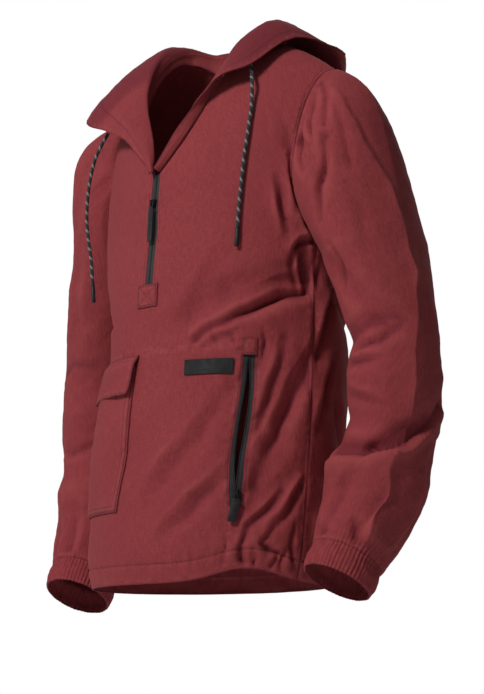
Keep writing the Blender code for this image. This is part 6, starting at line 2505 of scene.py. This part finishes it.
def joint_frame(pivot: Sequence[float], out: Sequence[float], up: Sequence[float]) -> Matrix:
    """The matrix of a slider's place.

    Args:
        pivot: A point of the pull's axis.
        out: The way out of the cloth.
        up: The way up the zip.

    Returns:
        Sideways, up and out as x, y and z, with its origin on the cloth.
    """
    out, up = Vector(out).normalized(), Vector(up).normalized()
    side = up.cross(out).normalized()
    ground = Vector(pivot) - out * 0.0049
    return Matrix.Translation(ground) @ Matrix((side, up, out)).transposed().to_4x4()


JOINT_FRAMES = {
    Body.FRONT_PULL: joint_frame((0.0, -0.1366935, -0.2146897), (0.0, -0.998, 0.0633), (0.0, 0.0633, 0.998)),
    Body.POCKET_PULL: joint_frame((0.1444521, -0.1168236, -0.6158105), (0.7566, -0.6527, 0.0387),
                                  (0.0411, 0.1065, 0.9935)),
}
ZIPS = (
    Zip("front_zip", 0.0, (-0.342, -0.329, -0.300, -0.272, -0.250, -0.232, -0.215, -0.195, -0.178, -0.168),
        (0.0003, 0.0003, 0.0003, 0.0003, 0.0003, 0.0003, 0.0004, 0.0010, 0.0016, 0.0019), (-4.6, 4.6),
        ("front_zip_tape_right", "front_zip_tape_left"), Body.FRONT_PULL, 0.0046, 0.054),
    Zip("pocket_zip", POCKET_ZIP_ANGLE,
        (-0.640, -0.632, -0.618, -0.590, -0.550, -0.510, -0.470, -0.440, -0.430, -0.424),
        (0.0003, 0.0003, 0.0006, 0.0024, 0.0038, 0.0044, 0.0036, 0.0020, 0.0010, 0.0006),
        (POCKET_FRONT_ANGLE - 2.6, POCKET_SIDE_ANGLE + 2.6),
        ("pocket_zip_tape_front", "pocket_zip_tape_side"), Body.POCKET_PULL, 0.0058, 0.038, bend=0.0034),
)
CORDS = (
    Drawcord(Side.LEFT, 5.0, 0.875, (
        (0.136, -0.080, -0.064), (0.139, -0.084, -0.090), (0.141, -0.092, -0.125), (0.141, -0.100, -0.165),
        (0.140, -0.1050, -0.205), (0.138, -0.1075, -0.240), (0.137, -0.1085, -0.262))),
    Drawcord(Side.RIGHT, 5.0, 0.75, (
        (-0.133, -0.0930, -0.078), (-0.143, -0.0985, -0.096), (-0.156, -0.1015, -0.118),
        (-0.1655, -0.1025, -0.145), (-0.171, -0.1030, -0.175), (-0.1725, -0.1030, -0.205),
        (-0.169, -0.1025, -0.235), (-0.1635, -0.1020, -0.265), (-0.160, -0.1018, -0.300))),
)


def main() -> None:
    """Build the studio and the garment."""
    logging.basicConfig(level=logging.INFO, format="%(message)s")
    Studio().build()
    finishes = Finishes()
    needle = Needle(finishes.thread)
    torso = Torso()
    panels = Panels(torso, *torso.skins())
    hood = Hood().build(panels, finishes)
    for cord in CORDS:
        cord.build(hood, panels.front, finishes)
    torso.build(panels.front, panels.back, finishes)
    cuffs = [sleeve.build(panels, finishes) for sleeve in SLEEVES]
    topstitch(panels, hood, cuffs, needle)
    FrontPieces(panels.front, finishes, needle).build()
    for fastener in ZIPS:
        fastener.build(panels.front, finishes)


if __name__ == "__main__":
    main()
